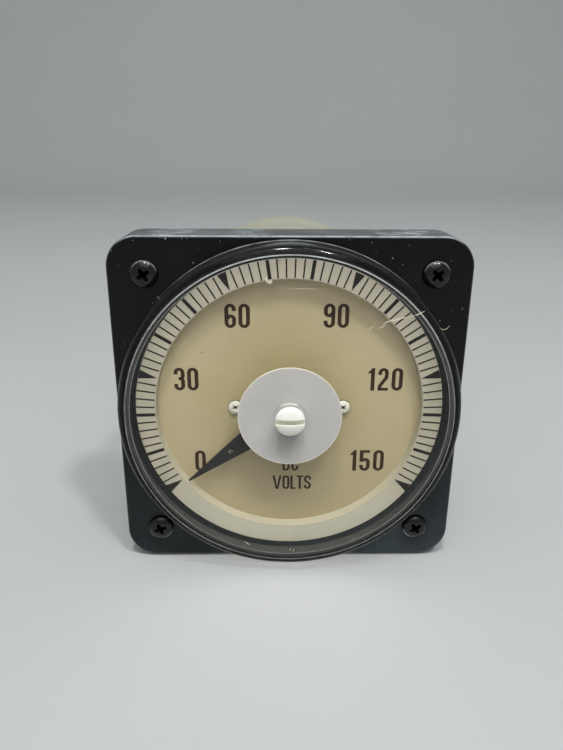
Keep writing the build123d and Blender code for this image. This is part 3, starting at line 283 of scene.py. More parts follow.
def edge_highlight(look):
    """The rounded front edge with a painted highlight: a pale line along the top, a faint one elsewhere."""
    x, y, z = look.axes()
    corner_x = look.most(look.beyond(x, BEZEL_HALF - BEZEL_CORNER), 0.0)
    corner_z = look.most(look.beyond(z, BEZEL_HALF - BEZEL_CORNER), 0.0)
    outermost = look.span(look.distance(corner_x, corner_z), BEZEL_CORNER - 0.6, BEZEL_CORNER - 0.3)
    foremost = look.span(y, BEZEL_FRONT + 0.7, BEZEL_FRONT + 0.4)
    breaks = look.ramp(look.noise(260, 4.0, 0.6), 0.3, 0.55, 0.45, 1.0)
    # Stronger towards the top, as a painted highlight of light from above.
    upper = look.span(z, BEZEL_HALF - 2.8, BEZEL_HALF - 0.6, 0.1, 0.9)
    return look.times(outermost, foremost, breaks, upper)


def bezel_look():
    """Satin black moulding: dusty above, with a painted bluish reflection below, its top scuffed with a
    painted sheen, and a painted highlight along its front edge.
    """
    look = surface("bezel_black", specular=0.21, grain=1800, bump=0.1)
    x, _, z = look.axes()
    black = look.clouds(90, tone(6, 5, 6), tone(13, 12, 12))

    # Painted reflection: a bluish sheen on the front, stronger low down and to the right.
    lower = look.span(z, 0, -BEZEL_HALF, 0.0, 0.6)
    right = look.span(x, -BEZEL_HALF, BEZEL_HALF, 0.35, 1.0)
    painted_reflection = look.times(lower, right, look.ramp(look.noise(40, 4.0, 0.6), 0.25, 0.7, 0.3, 1.0))
    with_painted_reflection = look.mix(painted_reflection, black, tone(76, 88, 92))

    scuffs_and_sheen = top_scuffs_and_sheen(look)
    # Real scuffs together with the painted sheen and the painted edge highlight, in one pale grey-blue.
    pale_and_highlit = look.mix(look.most(scuffs_and_sheen, edge_highlight(look)), with_painted_reflection, tone(158, 166, 168))

    upper = look.span(z, 0, BEZEL_HALF, 0.12, 0.9)
    dusty = look.times(upper, look.ramp(look.noise(120, 2.0), 0.4, 0.6))
    dust = look.times(look.specks(640.0, (0.2, 0.08), (0.8, 0.85)), dusty)
    look.put("Base Color", look.mix(dust, pale_and_highlit, tone(190, 190, 184)))
    look.put("Roughness", look.ramp(scuffs_and_sheen, 0.0, 1.0, 0.26, 0.6))
    return look


def dial_look():
    """Matt warm tan paint, greener round the middle, with painted shade low down and a few brown specks."""
    look = surface("dial_tan", specular=0.3, grain=1800, bump=0.08)
    look.gloss(0.55, 60)
    wander = look.times(look.noise(45, 3.0), 20 * MM)
    ageing = look.span(look.math("ADD", look.from_axis(), wander), 25, 42)
    base = look.mix(ageing, tone(173, 160, 117), tone(189, 175, 141))
    cloudy = look.mix(look.ramp(look.noise(60, 4.0), 0.3, 0.7, 0.0, 0.3), base, tone(194, 180, 143))
    # Painted shade: darker towards the bottom, as if lit from above.
    painted_low_shade = look.mix(look.span(look.axes()[2], 12, -45), cloudy, tone(162, 149, 117))
    brown = look.specks(130.0, (0.045, 0.02), (0.86, 0.88))
    look.put("Base Color", look.mix(brown, painted_low_shade, tone(120, 104, 76)))
    return look


def ring_look():
    """Cream moulding with painted light towards the top, duller where the scale is printed and yellower on
    its inner wall.
    """
    look = surface("ring_cream", specular=0.25, bump=0.1)
    look.gloss(0.5, 80)
    z = look.axes()[2]
    clouds = look.ramp(look.noise(80, 4.0), 0.3, 0.7)
    printed = look.mix(clouds, tone(178, 172, 154), tone(188, 182, 163))
    # Painted light: paler towards the top.
    painted_top_light = look.mix(look.span(z, 0, 45, 0.0, 0.9), printed, tone(204, 196, 180))
    blank = look.mix(clouds, tone(188, 185, 167), tone(194, 191, 172))
    face = look.mix(look.span(z, -26, -34), painted_top_light, blank)
    wall = look.span(look.from_axis(), RING_INNER + 0.35, RING_INNER + 0.1)
    look.put("Base Color", look.mix(wall, face, tone(176, 170, 150)))
    return look


def disc_look():
    """Matt grey paint with faint cloudy patches and a pale edge, painted as a highlight."""
    look = surface("disc_grey", specular=0.3, grain=2200, bump=0.08)
    look.gloss(0.5, 60)
    paint = look.clouds(75, tone(173, 171, 172), tone(186, 184, 183), 3.0, 0.6)
    # Painted highlight: a pale line round the edge of the disc.
    painted_rim_highlight = look.span(look.from_axis(), DISC_RADIUS - 0.3, DISC_RADIUS - 0.12)
    look.put("Base Color", look.mix(painted_rim_highlight, paint, tone(216, 210, 200)))
    return look


def head_look(name, color, dark, seat, height, rough, specular):
    """A painted screw head with painted shade in its recess, which is also dull: the deeper below the dome,
    the darker.
    """
    look = surface(name, specular=specular, bump=0.1)
    paint = look.clouds(400, shade(color, 0.85), shade(color, 1.15))
    # Painted shade: the recess darkens with depth and loses its reflection.
    recess_shade = look.span(look.axes()[1], seat - 0.62 * height, seat - 0.3 * height)
    look.put("Base Color", look.mix(recess_shade, paint, dark))
    look.put("Specular IOR Level", look.ramp(recess_shade, 0.0, 0.6, specular, 0.0))
    look.put("Roughness", look.ramp(recess_shade, 0.0, 1.0, rough, 0.9))
    return look


def cover_screw_look():
    """Glossy black heads with a painted highlight on the edge that looks away from the meter's middle, paler
    on the lower heads as a painted reflection of the floor.
    """
    radius, height = COVER_SCREW["head"]
    look = head_look("screw_black", tone(10, 10, 11), tone(5, 5, 7), BEZEL_FRONT, height, 0.14, 0.42)
    x, y, z = look.axes()
    off_x, off_z = look.beyond(x, STUD_PLACE), look.beyond(z, STUD_PLACE)
    rim = look.span(look.distance(off_x, off_z), radius - 0.5, radius - 0.25)
    front = look.span(y, BEZEL_FRONT - 0.25 * height, BEZEL_FRONT - 0.35 * height)
    outward = look.span(off_z, 0.6, 2.8)
    ragged = look.ramp(look.noise(700, 4.0, 0.6), 0.3, 0.6, 0.2, 1.0)
    # Painted highlight: the crescent's colour, pale on the lower heads where it stands for the floor's
    # reflection.
    metal = look.mix(look.span(z, -10, 10), tone(236, 240, 246), tone(112, 114, 118))
    pale_and_highlit = look.times(rim, front, outward, ragged)
    look.put("Base Color", look.mix(pale_and_highlit, look.fed("Base Color"), metal))
    return look


def cover_scuffs_and_sheen(look, radius, y, upper):
    """Wear on the edge of the cover's face and above its foot, and a little dust, made stronger on top as a
    painted highlight.
    """
    side = look.span(radius, SIDE_FROM, SIDE_FROM + 0.3)
    on_edge = look.span(look.apart(radius, FACE_EDGE), 0.25, 0.1)
    face_edge = look.times(on_edge, look.span(y, COVER_FRONT + 0.4, COVER_FRONT + 0.2))
    foot_band = look.times(side, look.span(y, BEZEL_FRONT - 1.8, BEZEL_FRONT - 0.8), upper)
    foot_line = look.times(side, look.span(y, BEZEL_FRONT - 0.6, BEZEL_FRONT - 0.3))
    # Real scuffs, weighted towards the top as a painted highlight of the light from above.
    edges = look.times(look.most(face_edge, foot_line, foot_band), look.ramp(upper, 0.0, 1.0, 0.5, 1.3))
    behind_edge = look.span(y, COVER_FRONT + 0.9, COVER_FRONT + 1.9)
    dust = look.times(side, behind_edge, look.ramp(upper, 0.0, 1.0, 0.1, 0.3))
    ragged = look.ramp(look.noise(230, 5.0, 0.65), 0.3, 0.65, 0.5, 1.0)
    return look.times(look.most(edges, dust), ragged, 0.5)


def clear_look():
    """Clear acrylic with smudges and hairlines; its edges scuffed, with a painted highlight on top; its side
    tinted dark and its inner corner darkened, both as painted shade.
    """
    look = Look("cover_clear")
    look.put("IOR", 1.46)
    look.put("Specular Tint", (0.45, 0.45, 0.45, 1.0))
    _, y, z = look.axes()
    radius = look.from_axis()
    upper = look.span(z, 18, 46)
    scuffs_and_sheen = cover_scuffs_and_sheen(look, radius, y, upper)
    # Painted shade: the cover's side is tinted dark.
    side_shade = look.span(radius, SIDE_SHADE_FROM, SIDE_SHADE_FROM + 0.6)

    start, end = INNER_CORNER
    # Painted shade: the cover's inner corner is darkened and made less clear, darker on top.
    inner = look.times(look.span(radius, start, start + 0.3), look.span(radius, end, end - 0.3))
    grime_and_shade = look.times(inner, look.span(y, COVER_FRONT + 1.6, COVER_FRONT + 2.0))
    corner_shade_color = look.mix(upper, (0.06, 0.06, 0.055, 1.0), (0.012, 0.012, 0.011, 1.0))
    clear = look.mix(side_shade, (0.985, 0.985, 0.965, 1.0), (0.1, 0.105, 0.11, 1.0))
    with_corner_shade = look.mix(grime_and_shade, clear, corner_shade_color)
    look.put("Base Color", look.mix(scuffs_and_sheen, with_corner_shade, (0.8, 0.82, 0.8, 1.0)))
    opaque = look.most(scuffs_and_sheen, look.times(grime_and_shade, 0.9))
    look.put("Transmission Weight", look.ramp(opaque, 0.0, 1.0, 1.0, 0.0))

    smudges = look.ramp(look.noise(70, 4.0, 0.6), 0.55, 0.8, 0.0, 0.07)
    look.put("Roughness", look.most(smudges, look.times(side_shade, upper, 0.1), scuffs_and_sheen))
    look.bump(look.ramp(look.streaks((2400, 120, 170), 2.0, 0.5), 0.62, 0.7), 0.06, 0.004)
    let_lamps_through(look)
    return look


def let_lamps_through(look):
    """Lets the lamps light the dial through the cover, nearly unchanged."""
    lamp_ray = look.node("ShaderNodeLightPath").outputs["Is Shadow Ray"]
    through = look.node("ShaderNodeBsdfTransparent", {"Color": (0.86, 0.86, 0.84, 1.0)})
    both = look.node("ShaderNodeMixShader", {0: lamp_ray, 1: look.bsdf.outputs[0], 2: through.outputs[0]})
    look.feed(look.tree.nodes["Material Output"].inputs["Surface"], both.outputs[0])


def case_look():
    """Pale grey-green paint with a fine orange peel, grimy near the panel, with faint marks along it."""
    look = surface("case_paint", specular=0.45, grain=700, bump=0.3, depth=0.03)
    look.gloss(0.42, 70)
    base = look.clouds(70, tone(148, 149, 131), tone(162, 163, 144))
    patchy = look.ramp(look.noise(160, 5.0, 0.65), 0.35, 0.65)
    grime_and_shade = look.times(look.span(look.axes()[1], 12, 0), patchy)
    marks = look.ramp(look.streaks((420, 60, 420), 5.0, 0.7), 0.66, 0.74, 0.0, 0.5)
    look.put("Base Color", look.mix(look.most(grime_and_shade, marks), base, tone(112, 108, 92)))
    return look


def laminate_look(name, color):
    """Brown laminate with a woven grain."""
    look = plain(name, color, 0.45, vary=0.12, patch=220, bump=0.0)
    x, _, z = look.axes()
    weave = look.times(look.ridges(x, 0.5), look.ridges(z, 0.5))
    look.bump(weave, 0.3, 0.02)
    return look


def knob_look():
    """White moulding, darker and yellower in its slot, with painted shade lower down and fine wear across the
    face.
    """
    look = surface("knob_white", grain=2500, bump=0.08)
    look.gloss(0.3, 300)
    _, y, z = look.axes()
    half = SLOT_WIDTH / 2
    between_walls = look.span(look.math("ABSOLUTE", z), half + 0.04, half - 0.02)
    slot = look.times(between_walls, look.span(y, KNOB_FRONT + 0.1, KNOB_FRONT + 0.9))
    wear = look.ramp(look.noise(420, 4.0, 0.6), 0.35, 0.7)
    face = look.mix(wear, tone(242, 242, 233), tone(230, 230, 219))
    # Painted shade: darker towards the bottom of the knob.
    lower = look.mix(look.span(z, -0.6, -3.4), face, tone(222, 217, 206))
    look.put("Base Color", look.mix(look.times(slot, 0.7), lower, tone(216, 210, 188)))
    return look


def ivory_screw_look():
    # The dark colour is painted shade for the recess.
    ivory, recess_shade_color = tone(226, 221, 210), tone(46, 38, 34)
    return head_look("screw_ivory", ivory, recess_shade_color, DIAL_FACE, DIAL_SCREW["head"][1], 0.35, 0.5)


def spring_look(name):
    return plain(name, tone(190, 140, 84), 0.25, vary=0.08, patch=600, metal=1.0)


def lead_look(name, color, vary):
    return plain(name, color, 0.5, vary=vary, patch=500, grain=2600, bump=0.3)


LOOKS = {
    "bezel": bezel_look(),
    "cover": clear_look(),
    "cover_screws": cover_screw_look(),
    "dial_plate": dial_look(),
    "scale_ring": ring_look(),
    "scale_marks": plain("print_dark", tone(20, 14, 9), 0.6, vary=0.15, patch=700, specular=0.15, bump=0.1),
    "dial_screws": ivory_screw_look(),
    "centre_disc": disc_look(),
    "zero_adjuster": knob_look(),
    "pointer": plain(
        "pointer_black", tone(31, 28, 28), 0.48, vary=0.15, patch=250, specular=0.2, grain=1600, bump=0.2
    ),
    "rear_case": case_look(),
    "case_gasket": plain(
        "gasket_cork", tone(88, 68, 48), 0.85, vary=0.3, patch=900, grain=1400, bump=0.6, depth=0.1
    ),
    "mounting_plate": turned("plate_zinc", tone(176, 178, 174), 0.42, pitch=0.6, axis=0),
    "resistor_board": laminate_look("board_brown", tone(122, 84, 50)),
    "inner_washers": laminate_look("washer_brown", tone(116, 80, 50)),
    "terminal_insulators": plain("insulator_dark", tone(44, 34, 28), 0.42, vary=0.15, patch=300),
    "resistor_bobbins": plain("bobbin_dark", tone(52, 40, 32), 0.45, vary=0.15, patch=300),
    "coil_winding": wound("winding_copper", tone(150, 84, 44), 0.25),
    "resistor_windings": wound("winding_brown", tone(120, 84, 52), 0.4),
    "pivot_jewels": plain("jewel_ruby", tone(168, 26, 44), 0.12, vary=0.1, patch=900, specular=0.7),
    "pole_piece": plain("iron_grey", tone(136, 138, 138), 0.45, vary=0.12, patch=150, metal=0.9),
    "core": plain("core_iron", tone(142, 143, 143), 0.42, vary=0.12, patch=150, metal=0.9),
    "magnet": plain(
        "magnet_cast", tone(96, 94, 92), 0.6, vary=0.18, patch=500, metal=0.7, grain=900, bump=0.5, depth=0.08
    ),
    "coil_former": turned("former_aluminium", tone(204, 205, 206), 0.3),
    "coil_arms": turned("arms_aluminium", tone(200, 201, 203), 0.34),
    "pointer_hub": turned("hub_aluminium", tone(202, 202, 204), 0.3),
    "staff": turned("staff_steel", tone(180, 182, 184), 0.18, pitch=0.2),
    "front_hairspring": spring_look("spring_bronze"),
    "rear_hairspring": spring_look("spring_bronze_rear"),
    "rear_bridge_posts": plain("nylon_posts", tone(216, 212, 196), 0.5, vary=0.05, patch=300),
    "rear_bridge_screws": plain("nylon_screws", tone(218, 214, 200), 0.5, vary=0.05, patch=300),
    "terminal_leads": lead_look("lead_red", tone(140, 36, 30), 0.12),
    "movement_leads": lead_look("lead_black", tone(34, 32, 32), 0.15),
}
BRASS = turned("brass_turned", tone(196, 160, 96), 0.28)
NICKEL = turned("nickel_plate", tone(192, 188, 176), 0.26, pitch=0.4)
STEEL = turned("steel_zinc", tone(178, 180, 178), 0.32, pitch=0.4)
SCREW_STEEL = plain("screw_steel", tone(184, 184, 182), 0.3, vary=0.1, patch=500, metal=1.0)
BRASS_NODES = (
    "dial_posts", "front_bridge_posts", "disc_posts", "rear_collet", "balance_weights", "pole_spacers",
    "core_strap", "front_jewel_screw", "rear_jewel_screw", "board_eyelets",
)
NICKEL_NODES = (
    "front_bridge", "zero_lever", "rear_bridge", "terminal_washers", "wire_washers", "terminal_nuts",
)
STEEL_NODES = ("inner_posts", "outer_posts", "bobbin_nuts")
SCREW_NODES = ("front_bridge_screws", "strap_screws", "pole_screws", "case_screws", "bobbin_screws")
LOOKS.update(dict.fromkeys(BRASS_NODES, BRASS))
LOOKS.update(dict.fromkeys(NICKEL_NODES, NICKEL))
LOOKS.update(dict.fromkeys(STEEL_NODES, STEEL))
LOOKS.update(dict.fromkeys(SCREW_NODES, SCREW_STEEL))


def dress(obj, look):
    obj.data.materials.clear()
    obj.data.materials.append(look.mat)


for name, look in LOOKS.items():
    dress(NODES[name], look)


# Mesh helpers: a shell is a closed surface, as its points in millimetres and its faces
def placed(name, data):
    """A new object in the scene."""
    obj = bpy.data.objects.new(name, data)
    bpy.context.scene.collection.objects.link(obj)
    return obj


def mesh_of(name, shells):
    """One mesh from several shells."""
    verts, faces = [], []
    for shell_verts, shell_faces in shells:
        start = len(verts)
        verts += [tuple(part * MM for part in vert) for vert in shell_verts]
        faces += [tuple(index + start for index in face) for face in shell_faces]
    mesh = bpy.data.meshes.new(name)
    mesh.from_pydata(verts, [], faces)
    mesh.validate()
    mesh.update()
    return mesh


def made_of(name, shells, look, body=HOUSING, smooth=False):
    """A piece made of shells, riding on a body."""
    mesh = mesh_of(name, shells)
    if smooth:
        mesh.polygons.foreach_set("use_smooth", [True] * len(mesh.polygons))
    obj = placed(name, mesh)
    dress(obj, look)
    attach(obj, body)
    return obj


def clamped(value):
    return min(1.0, max(0.0, value))


def prism(outline, front, back):
    """A shell between two depths; the outline is (x, z), as seen from the front."""
    count = len(outline)
    verts = [(x, front, z) for x, z in outline] + [(x, back, z) for x, z in outline]
    faces = [tuple(range(count)), tuple(reversed(range(count, 2 * count)))]
    for index in range(count):
        after = (index + 1) % count
        faces.append((index, index + count, after + count, after))
    return verts, faces


def rod(radius, front, back, centre, sides=40):
    turns = [2 * pi * side / sides for side in range(sides)]
    ring = [(centre[0] + radius * cos(turn), centre[1] + radius * sin(turn)) for turn in turns]
    return prism(ring, front, back)


def hexagon(flats, front, back, centre):
    """A six-sided shell, this wide across its flats, with a corner up."""
    reach = flats / sqrt(3)
    turns = [radians(60 * corner) for corner in range(6)]
    outline = [(centre[0] + reach * sin(turn), centre[1] + reach * cos(turn)) for turn in turns]
    return prism(outline, front, back)


def threaded(top, bottom, thread, centre, sides=28):
    """A threaded rod along y from top to bottom, round a centre (x, z), closed at both ends."""
    over, root, pitch = thread
    steps = max(4, int(round((bottom - top) / pitch * 4)))
    verts, faces = [], []
    for step in range(steps + 1):
        along = top + (bottom - top) * step / steps
        fade = clamped(min(bottom - along, along - top) / pitch)
        for side in range(sides):
            turn = 2 * pi * side / sides
            phase = ((along - top) / pitch - side / sides) % 1.0
            ridge = 1 - abs(2 * phase - 1)
            radius = root + (over - root) * ridge * fade
            verts.append((centre[0] + radius * sin(turn), along, centre[1] + radius * cos(turn)))
    for step in range(steps):
        for side in range(sides):
            here, beside = step * sides + side, step * sides + (side + 1) % sides
            faces.append((here, beside, beside + sides, here + sides))
    faces.append(tuple(reversed(range(sides))))
    faces.append(tuple(range(steps * sides, (steps + 1) * sides)))
    return verts, faces


def recess_depth(x, z, recess, turn):
    """How deep a cross recess is at this place of a screw head: drafted walls, arms that rise outwards."""
    reach, width, depth = recess
    narrowing, rise = 0.4, 0.45
    wall_run, end_run, corner_reach = 0.16 * width, 0.22 * width, 0.86 * width
    angle = radians(turn)
    u = x * cos(angle) + z * sin(angle)
    v = -x * sin(angle) + z * cos(angle)
    deepest = 0.0
    for along, across in ((abs(u), abs(v)), (abs(v), abs(u))):
        outwards = min(1.0, along / reach)
        half = width / 2 * (1 - narrowing * outwards)
        wall = clamped((half - across) / wall_run)
        end = clamped((reach - along) / end_run)
        deepest = max(deepest, depth * (1 - rise * outwards) * wall * end)
    corner = clamped((corner_reach - abs(u) - abs(v)) / wall_run)
    return max(deepest, depth * corner)


def screw(sizes, centre, seat, turn, away=-1, rings=44, sides=144):
    """A domed head with a cross recess, and its shank; away is 1 for a head that looks to the rear."""
    head_radius, height = sizes["head"]
    edge_height = 0.3 * height
    crowding, flatness, fall = 0.85, 2.6, 0.62
    around = [2 * pi * side / sides for side in range(sides)]
    verts, faces = [], []
    for ring in range(rings + 1):
        radius = head_radius * (ring / rings) ** crowding
        share = min(1.0, radius / head_radius)
        dome = edge_height + (height - edge_height) * (1 - share**flatness) ** fall
        for angle in around:
            x, z = radius * cos(angle), radius * sin(angle)
            level = dome - recess_depth(x, z, sizes["recess"], turn)
            verts.append((centre[0] + x, seat + away * level, centre[1] + z))
    for angle in around:
        verts.append((centre[0] + head_radius * cos(angle), seat, centre[1] + head_radius * sin(angle)))
    for ring in range(1, rings + 1):
        for side in range(sides):
            here, beside = ring * sides + side, ring * sides + (side + 1) % sides
            faces.append((here, here + sides, beside + sides, beside))
    for side in range(sides):
        faces.append((side, sides + side, sides + (side + 1) % sides, (side + 1) % sides))
    faces.append(tuple((rings + 1) * sides + side for side in reversed(range(sides))))
    if away > 0:
        faces = [tuple(reversed(face)) for face in faces]
    shank_radius, end = sizes["shank"]
    return [(verts, faces), rod(shank_radius, min(seat, end), max(seat, end), centre)]


# Screws, studs and terminals
def cover_screws():
    shells = []
    for (side, level), turn in {(-1, 1): 32, (1, 1): 42, (-1, -1): 20, (1, -1): 33}.items():
        shells += screw(COVER_SCREW, (side * STUD_PLACE, level * STUD_PLACE), BEZEL_FRONT, turn)
    heads = made_of("phillips_cover_screws", shells, LOOKS["cover_screws"], smooth=True)
    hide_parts("cover_screws")


def dial_screws():
    shells = []
    for side, turn in ((-1, 35), (1, 45)):
        shells += screw(DIAL_SCREW, (side * DIAL_SCREW_PLACE, 0), DIAL_FACE, turn, rings=34)
    heads = made_of("phillips_dial_screws", shells, LOOKS["dial_screws"], smooth=True)
    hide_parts("dial_screws")


def case_screws():
    shells = []
    for side, turn in ((-1, -25), (1, 25)):
        shells += screw(CASE_SCREW, (side * CASE_SCREW_PLACE, 0), CASE_REAR, turn, away=1, rings=36)
    heads = made_of("phillips_case_screws", shells, SCREW_STEEL, smooth=True)
    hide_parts("case_screws")


def mounting_studs():
    shells = []
    for side in (-1, 1):
        for level in (-1, 1):
            place = (side * STUD_PLACE, level * STUD_PLACE)
            shells.append(hexagon(STUD_FLATS, *STUD_HEXAGON, place))
            shells.append(rod(STUD_NECK, STUD_HEXAGON[1], 0.0, place))
            shells.append(threaded(0.0, STUD_END, STUD_THREAD, place))
    studs = made_of("threaded_mounting_studs", shells, STEEL)
    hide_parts("mounting_studs")


def terminals():
    shells = []
    for side in (-1, 1):
        place = (side * TERMINAL_PLACE[0], TERMINAL_PLACE[1])
        shells.append(hexagon(TERMINAL_FLATS, *TERMINAL_HEXAGON, place))
        shells.append(threaded(TERMINAL_HEXAGON[1], TERMINAL_END, TERMINAL_THREAD, place))
    studs = made_of("threaded_terminal_studs", shells, NICKEL)
    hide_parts("terminal_studs")


def slot_cutter():
    """The block that cuts the adjuster's slot, longer and higher than the knob."""
    overrun = 1.0
    half, end = SLOT_WIDTH / 2, KNOB_RADIUS + overrun
    outline = [(-end, -half), (end, -half), (end, half), (-end, half)]
    block = prism(outline, KNOB_FRONT - overrun, KNOB_FRONT + SLOT_DEPTH)
    return placed("slot", mesh_of("slot", [block]))


def wide_slot():
    """The adjuster again, with a slot as wide as a coin's edge and its edges slightly rounded."""
    mesh = NODES["zero_adjuster"].data.copy()
    welded = bmesh.new()
    welded.from_mesh(mesh)
    bmesh.ops.remove_doubles(welded, verts=welded.verts, dist=0.001 * MM)
    welded.to_mesh(mesh)
    welded.free()
    knob = placed("slotted_knob", mesh)

    cutter = slot_cutter()
    cut = knob.modifiers.new("slot", "BOOLEAN")
    cut.operation = "DIFFERENCE"
    cut.solver = "EXACT"
    cut.object = cutter
    soft = knob.modifiers.new("soft_edges", "BEVEL")
    soft.width = SLOT_EDGE * MM
    soft.segments = 2
    soft.limit_method = "ANGLE"
    soft.angle_limit = radians(35)
    bpy.context.view_layer.update()
    made = bpy.data.meshes.new_from_object(knob.evaluated_get(bpy.context.evaluated_depsgraph_get()))
    knob.modifiers.clear()
    knob.data = made
    bpy.data.objects.remove(cutter)
    made.shade_smooth()
    made.set_sharp_from_angle(angle=radians(40))
    dress(knob, LOOKS["zero_adjuster"])
    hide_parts("zero_adjuster")
    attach(knob, "zero_adjuster")


cover_screws()
dial_screws()
case_screws()
mounting_studs()
wide_slot()
terminals()


# Figures and letters: strokes and patches, in millimetres from the lower left corner
def bow(cx, cy, rx, ry, start, end):
    """Points on an ellipse; 0 is to the right, 90 is up."""
    count = max(3, int(abs(end - start) / 10))
    turns = [radians(start + (end - start) * index / count) for index in range(count + 1)]
    return [(cx + rx * cos(turn), cy + ry * sin(turn)) for turn in turns]


def sideways(before, point, after):
    """The way out of a line at one of its points, longer at a corner so that a ribbon keeps its width."""
    normals = []
    for a, b in ((before, point), (point, after)):
        if a is not None and b is not None:
            length = hypot(b[0] - a[0], b[1] - a[1])
            normals.append(((b[1] - a[1]) / length, -(b[0] - a[0]) / length))
    nx = sum(normal[0] for normal in normals) / len(normals)
    ny = sum(normal[1] for normal in normals) / len(normals)
    size = max(0.35, nx * nx + ny * ny)
    return nx / size, ny / size


class Glyph:
    """One condensed bold character, with the measures that its shape is drawn from."""

    def __init__(self, width, height, stem, bar):
        self.width, self.height, self.stem, self.bar = width, height, stem, bar
        self.left, self.right = stem / 2, width - stem / 2
        self.low, self.high = bar / 2, height - bar / 2
        self.middle = width / 2
        self.rx = (self.right - self.left) / 2
        self.ry = self.rx * 1.12
        self.top, self.base = self.high - self.ry, self.low + self.ry
        self.shells = []

    def upper(self, start, end):
        return bow(self.middle, self.top, self.rx, self.ry, start, end)

    def lower(self, start, end):
        return bow(self.middle, self.base, self.rx, self.ry, start, end)

    def stroke(self, points, closed=False):
        """A ribbon round these points: as wide as the stem across x and as the bar across y."""
        flat = [(x / self.stem, y / self.bar) for x, y in points]
        kept = [flat[0]]
        for point in flat[1:]:
            if hypot(point[0] - kept[-1][0], point[1] - kept[-1][1]) > 1e-3:
                kept.append(point)
        if closed and hypot(kept[0][0] - kept[-1][0], kept[0][1] - kept[-1][1]) < 1e-3:
            kept.pop()
        count = len(kept)
        outer, inner = [], []
        for index, (x, y) in enumerate(kept):
            before = kept[index - 1] if closed or index > 0 else None
            after = kept[(index + 1) % count] if closed or index < count - 1 else None
            nx, ny = sideways(before, (x, y), after)
            outer.append(((x + nx / 2) * self.stem, (y + ny / 2) * self.bar))
            inner.append(((x - nx / 2) * self.stem, (y - ny / 2) * self.bar))
        self.shells.append((outer, inner, closed))

    def patch(self, outline):
        self.shells.append((outline, None, True))

    def solids(self, x0, z0, front, back):
        """The shells of the character, with its corner at this place."""
        made = []
        for outer, inner, closed in self.shells:
            if inner is None:
                made.append(prism([(x0 + x, z0 + z) for x, z in outer], front, back))
                continue
            verts, faces = [], []
            for line, depth in ((outer, front), (inner, front), (outer, back), (inner, back)):
                verts += [(x0 + x, depth, z0 + z) for x, z in line]
            count = len(outer)
            for i in range(count if closed else count - 1):
                j = (i + 1) % count
                inner_i, outer_back_i, inner_back_i = i + count, i + 2 * count, i + 3 * count
                inner_j, outer_back_j, inner_back_j = j + count, j + 2 * count, j + 3 * count
                faces.append((i, j, inner_j, inner_i))
                faces.append((outer_back_i, inner_back_i, inner_back_j, outer_back_j))
                faces.append((i, outer_back_i, outer_back_j, j))
                faces.append((inner_i, inner_j, inner_back_j, inner_back_i))
            if not closed:
                last = count - 1
                faces.append((0, count, 3 * count, 2 * count))
                faces.append((last, last + 2 * count, last + 3 * count, last + count))
            made.append((verts, faces))
        return made

    def round_one(self):
        self.stroke(self.upper(0, 180) + self.lower(180, 360), closed=True)

    def one(self):
        w, h, stem, bar = self.width, self.height, self.stem, self.bar
        left = w - stem
        flag = [(left - stem * 0.1, h - bar * 0.75), (0, h - bar * 1.35), (0, h - bar * 2.1)]
        self.patch([(left, 0), (w, 0), (w, h), (left + stem * 0.25, h)] + flag + [(left, h - bar * 1.75)])

    def two(self):
        path = [(self.left, self.height * 0.70)] + self.upper(180, 0) + [(self.right, self.height * 0.66)]
        path.append((self.right - self.rx * 0.16, self.height * 0.56))
        path.append((self.left + self.rx * 0.1, self.height * 0.22))
        self.stroke(path + [(self.left, self.bar)])
        self.patch([(0, 0), (self.width, 0), (self.width, self.bar), (0, self.bar)])

    def three(self):
        waist, arm = self.height * 0.52, self.rx * 0.8
        upper = [(self.left, self.height * 0.71)] + self.upper(180, 0)
        upper += bow(self.right - arm, waist + arm, arm, arm, 0, -90)
        upper.append((self.middle - self.rx * 0.25, waist))
        lower = [(self.right - arm - 0.02, waist)] + bow(self.right - arm, waist - arm, arm, arm, 90, 0)
        lower += self.lower(0, -180) + [(self.left, self.height * 0.29)]
        self.stroke(upper)
        self.stroke(lower)

    def five(self):
        bowl = self.height * 0.62 - self.bar / 2
        flag = [(self.width - self.stem * 0.12, self.high), (self.left, self.high)]
        self.stroke(flag + [(self.left, self.height * 0.44)])
        curve = [(self.left + self.stem * 0.5, bowl - self.ry * 0.6)]
        rx, ry = self.rx * 0.92, self.ry * 0.8
        curve += bow(self.middle + self.rx * 0.08, bowl - ry, rx, ry, 120, 0)
        curve += self.lower(0, -180) + [(self.left, self.height * 0.29)]
        self.stroke(curve)

    def six_path(self):
        bowl = self.height * 0.56 - self.bar / 2
        path = [(self.right, self.height * 0.70)] + self.upper(0, 180) + self.lower(180, 360)
        path += bow(self.middle, bowl - self.ry * 0.85, self.rx, self.ry * 0.85, 0, 130)
        return path + [(self.left + self.stem * 0.5, bowl - self.ry * 0.75)]

    def six(self):
        self.stroke(self.six_path())

    def nine(self):
        self.stroke([(self.width - x, self.height - y) for x, y in self.six_path()])

    def letter_v(self):
        w, h, stem, middle = self.width, self.height, self.stem, self.middle
        foot = stem * 0.55
        outside = [(middle - foot, 0), (middle + foot, 0), (w, h), (w - stem * 1.02, h)]
        self.patch(outside + [(middle, stem * 1.3), (stem * 1.02, h), (0, h)])

    def letter_l(self):
        w, h, stem, bar = self.width, self.height, self.stem, self.bar
        self.patch([(0, 0), (w, 0), (w, bar), (stem, bar), (stem, h), (0, h)])

    def letter_t(self):
        w, h, under = self.width, self.height, self.height - self.bar
        left, right = self.middle - self.stem / 2, self.middle + self.stem / 2
        bar = [(right, under), (w, under), (w, h), (0, h), (0, under), (left, under)]
        self.patch([(left, 0), (right, 0)] + bar)

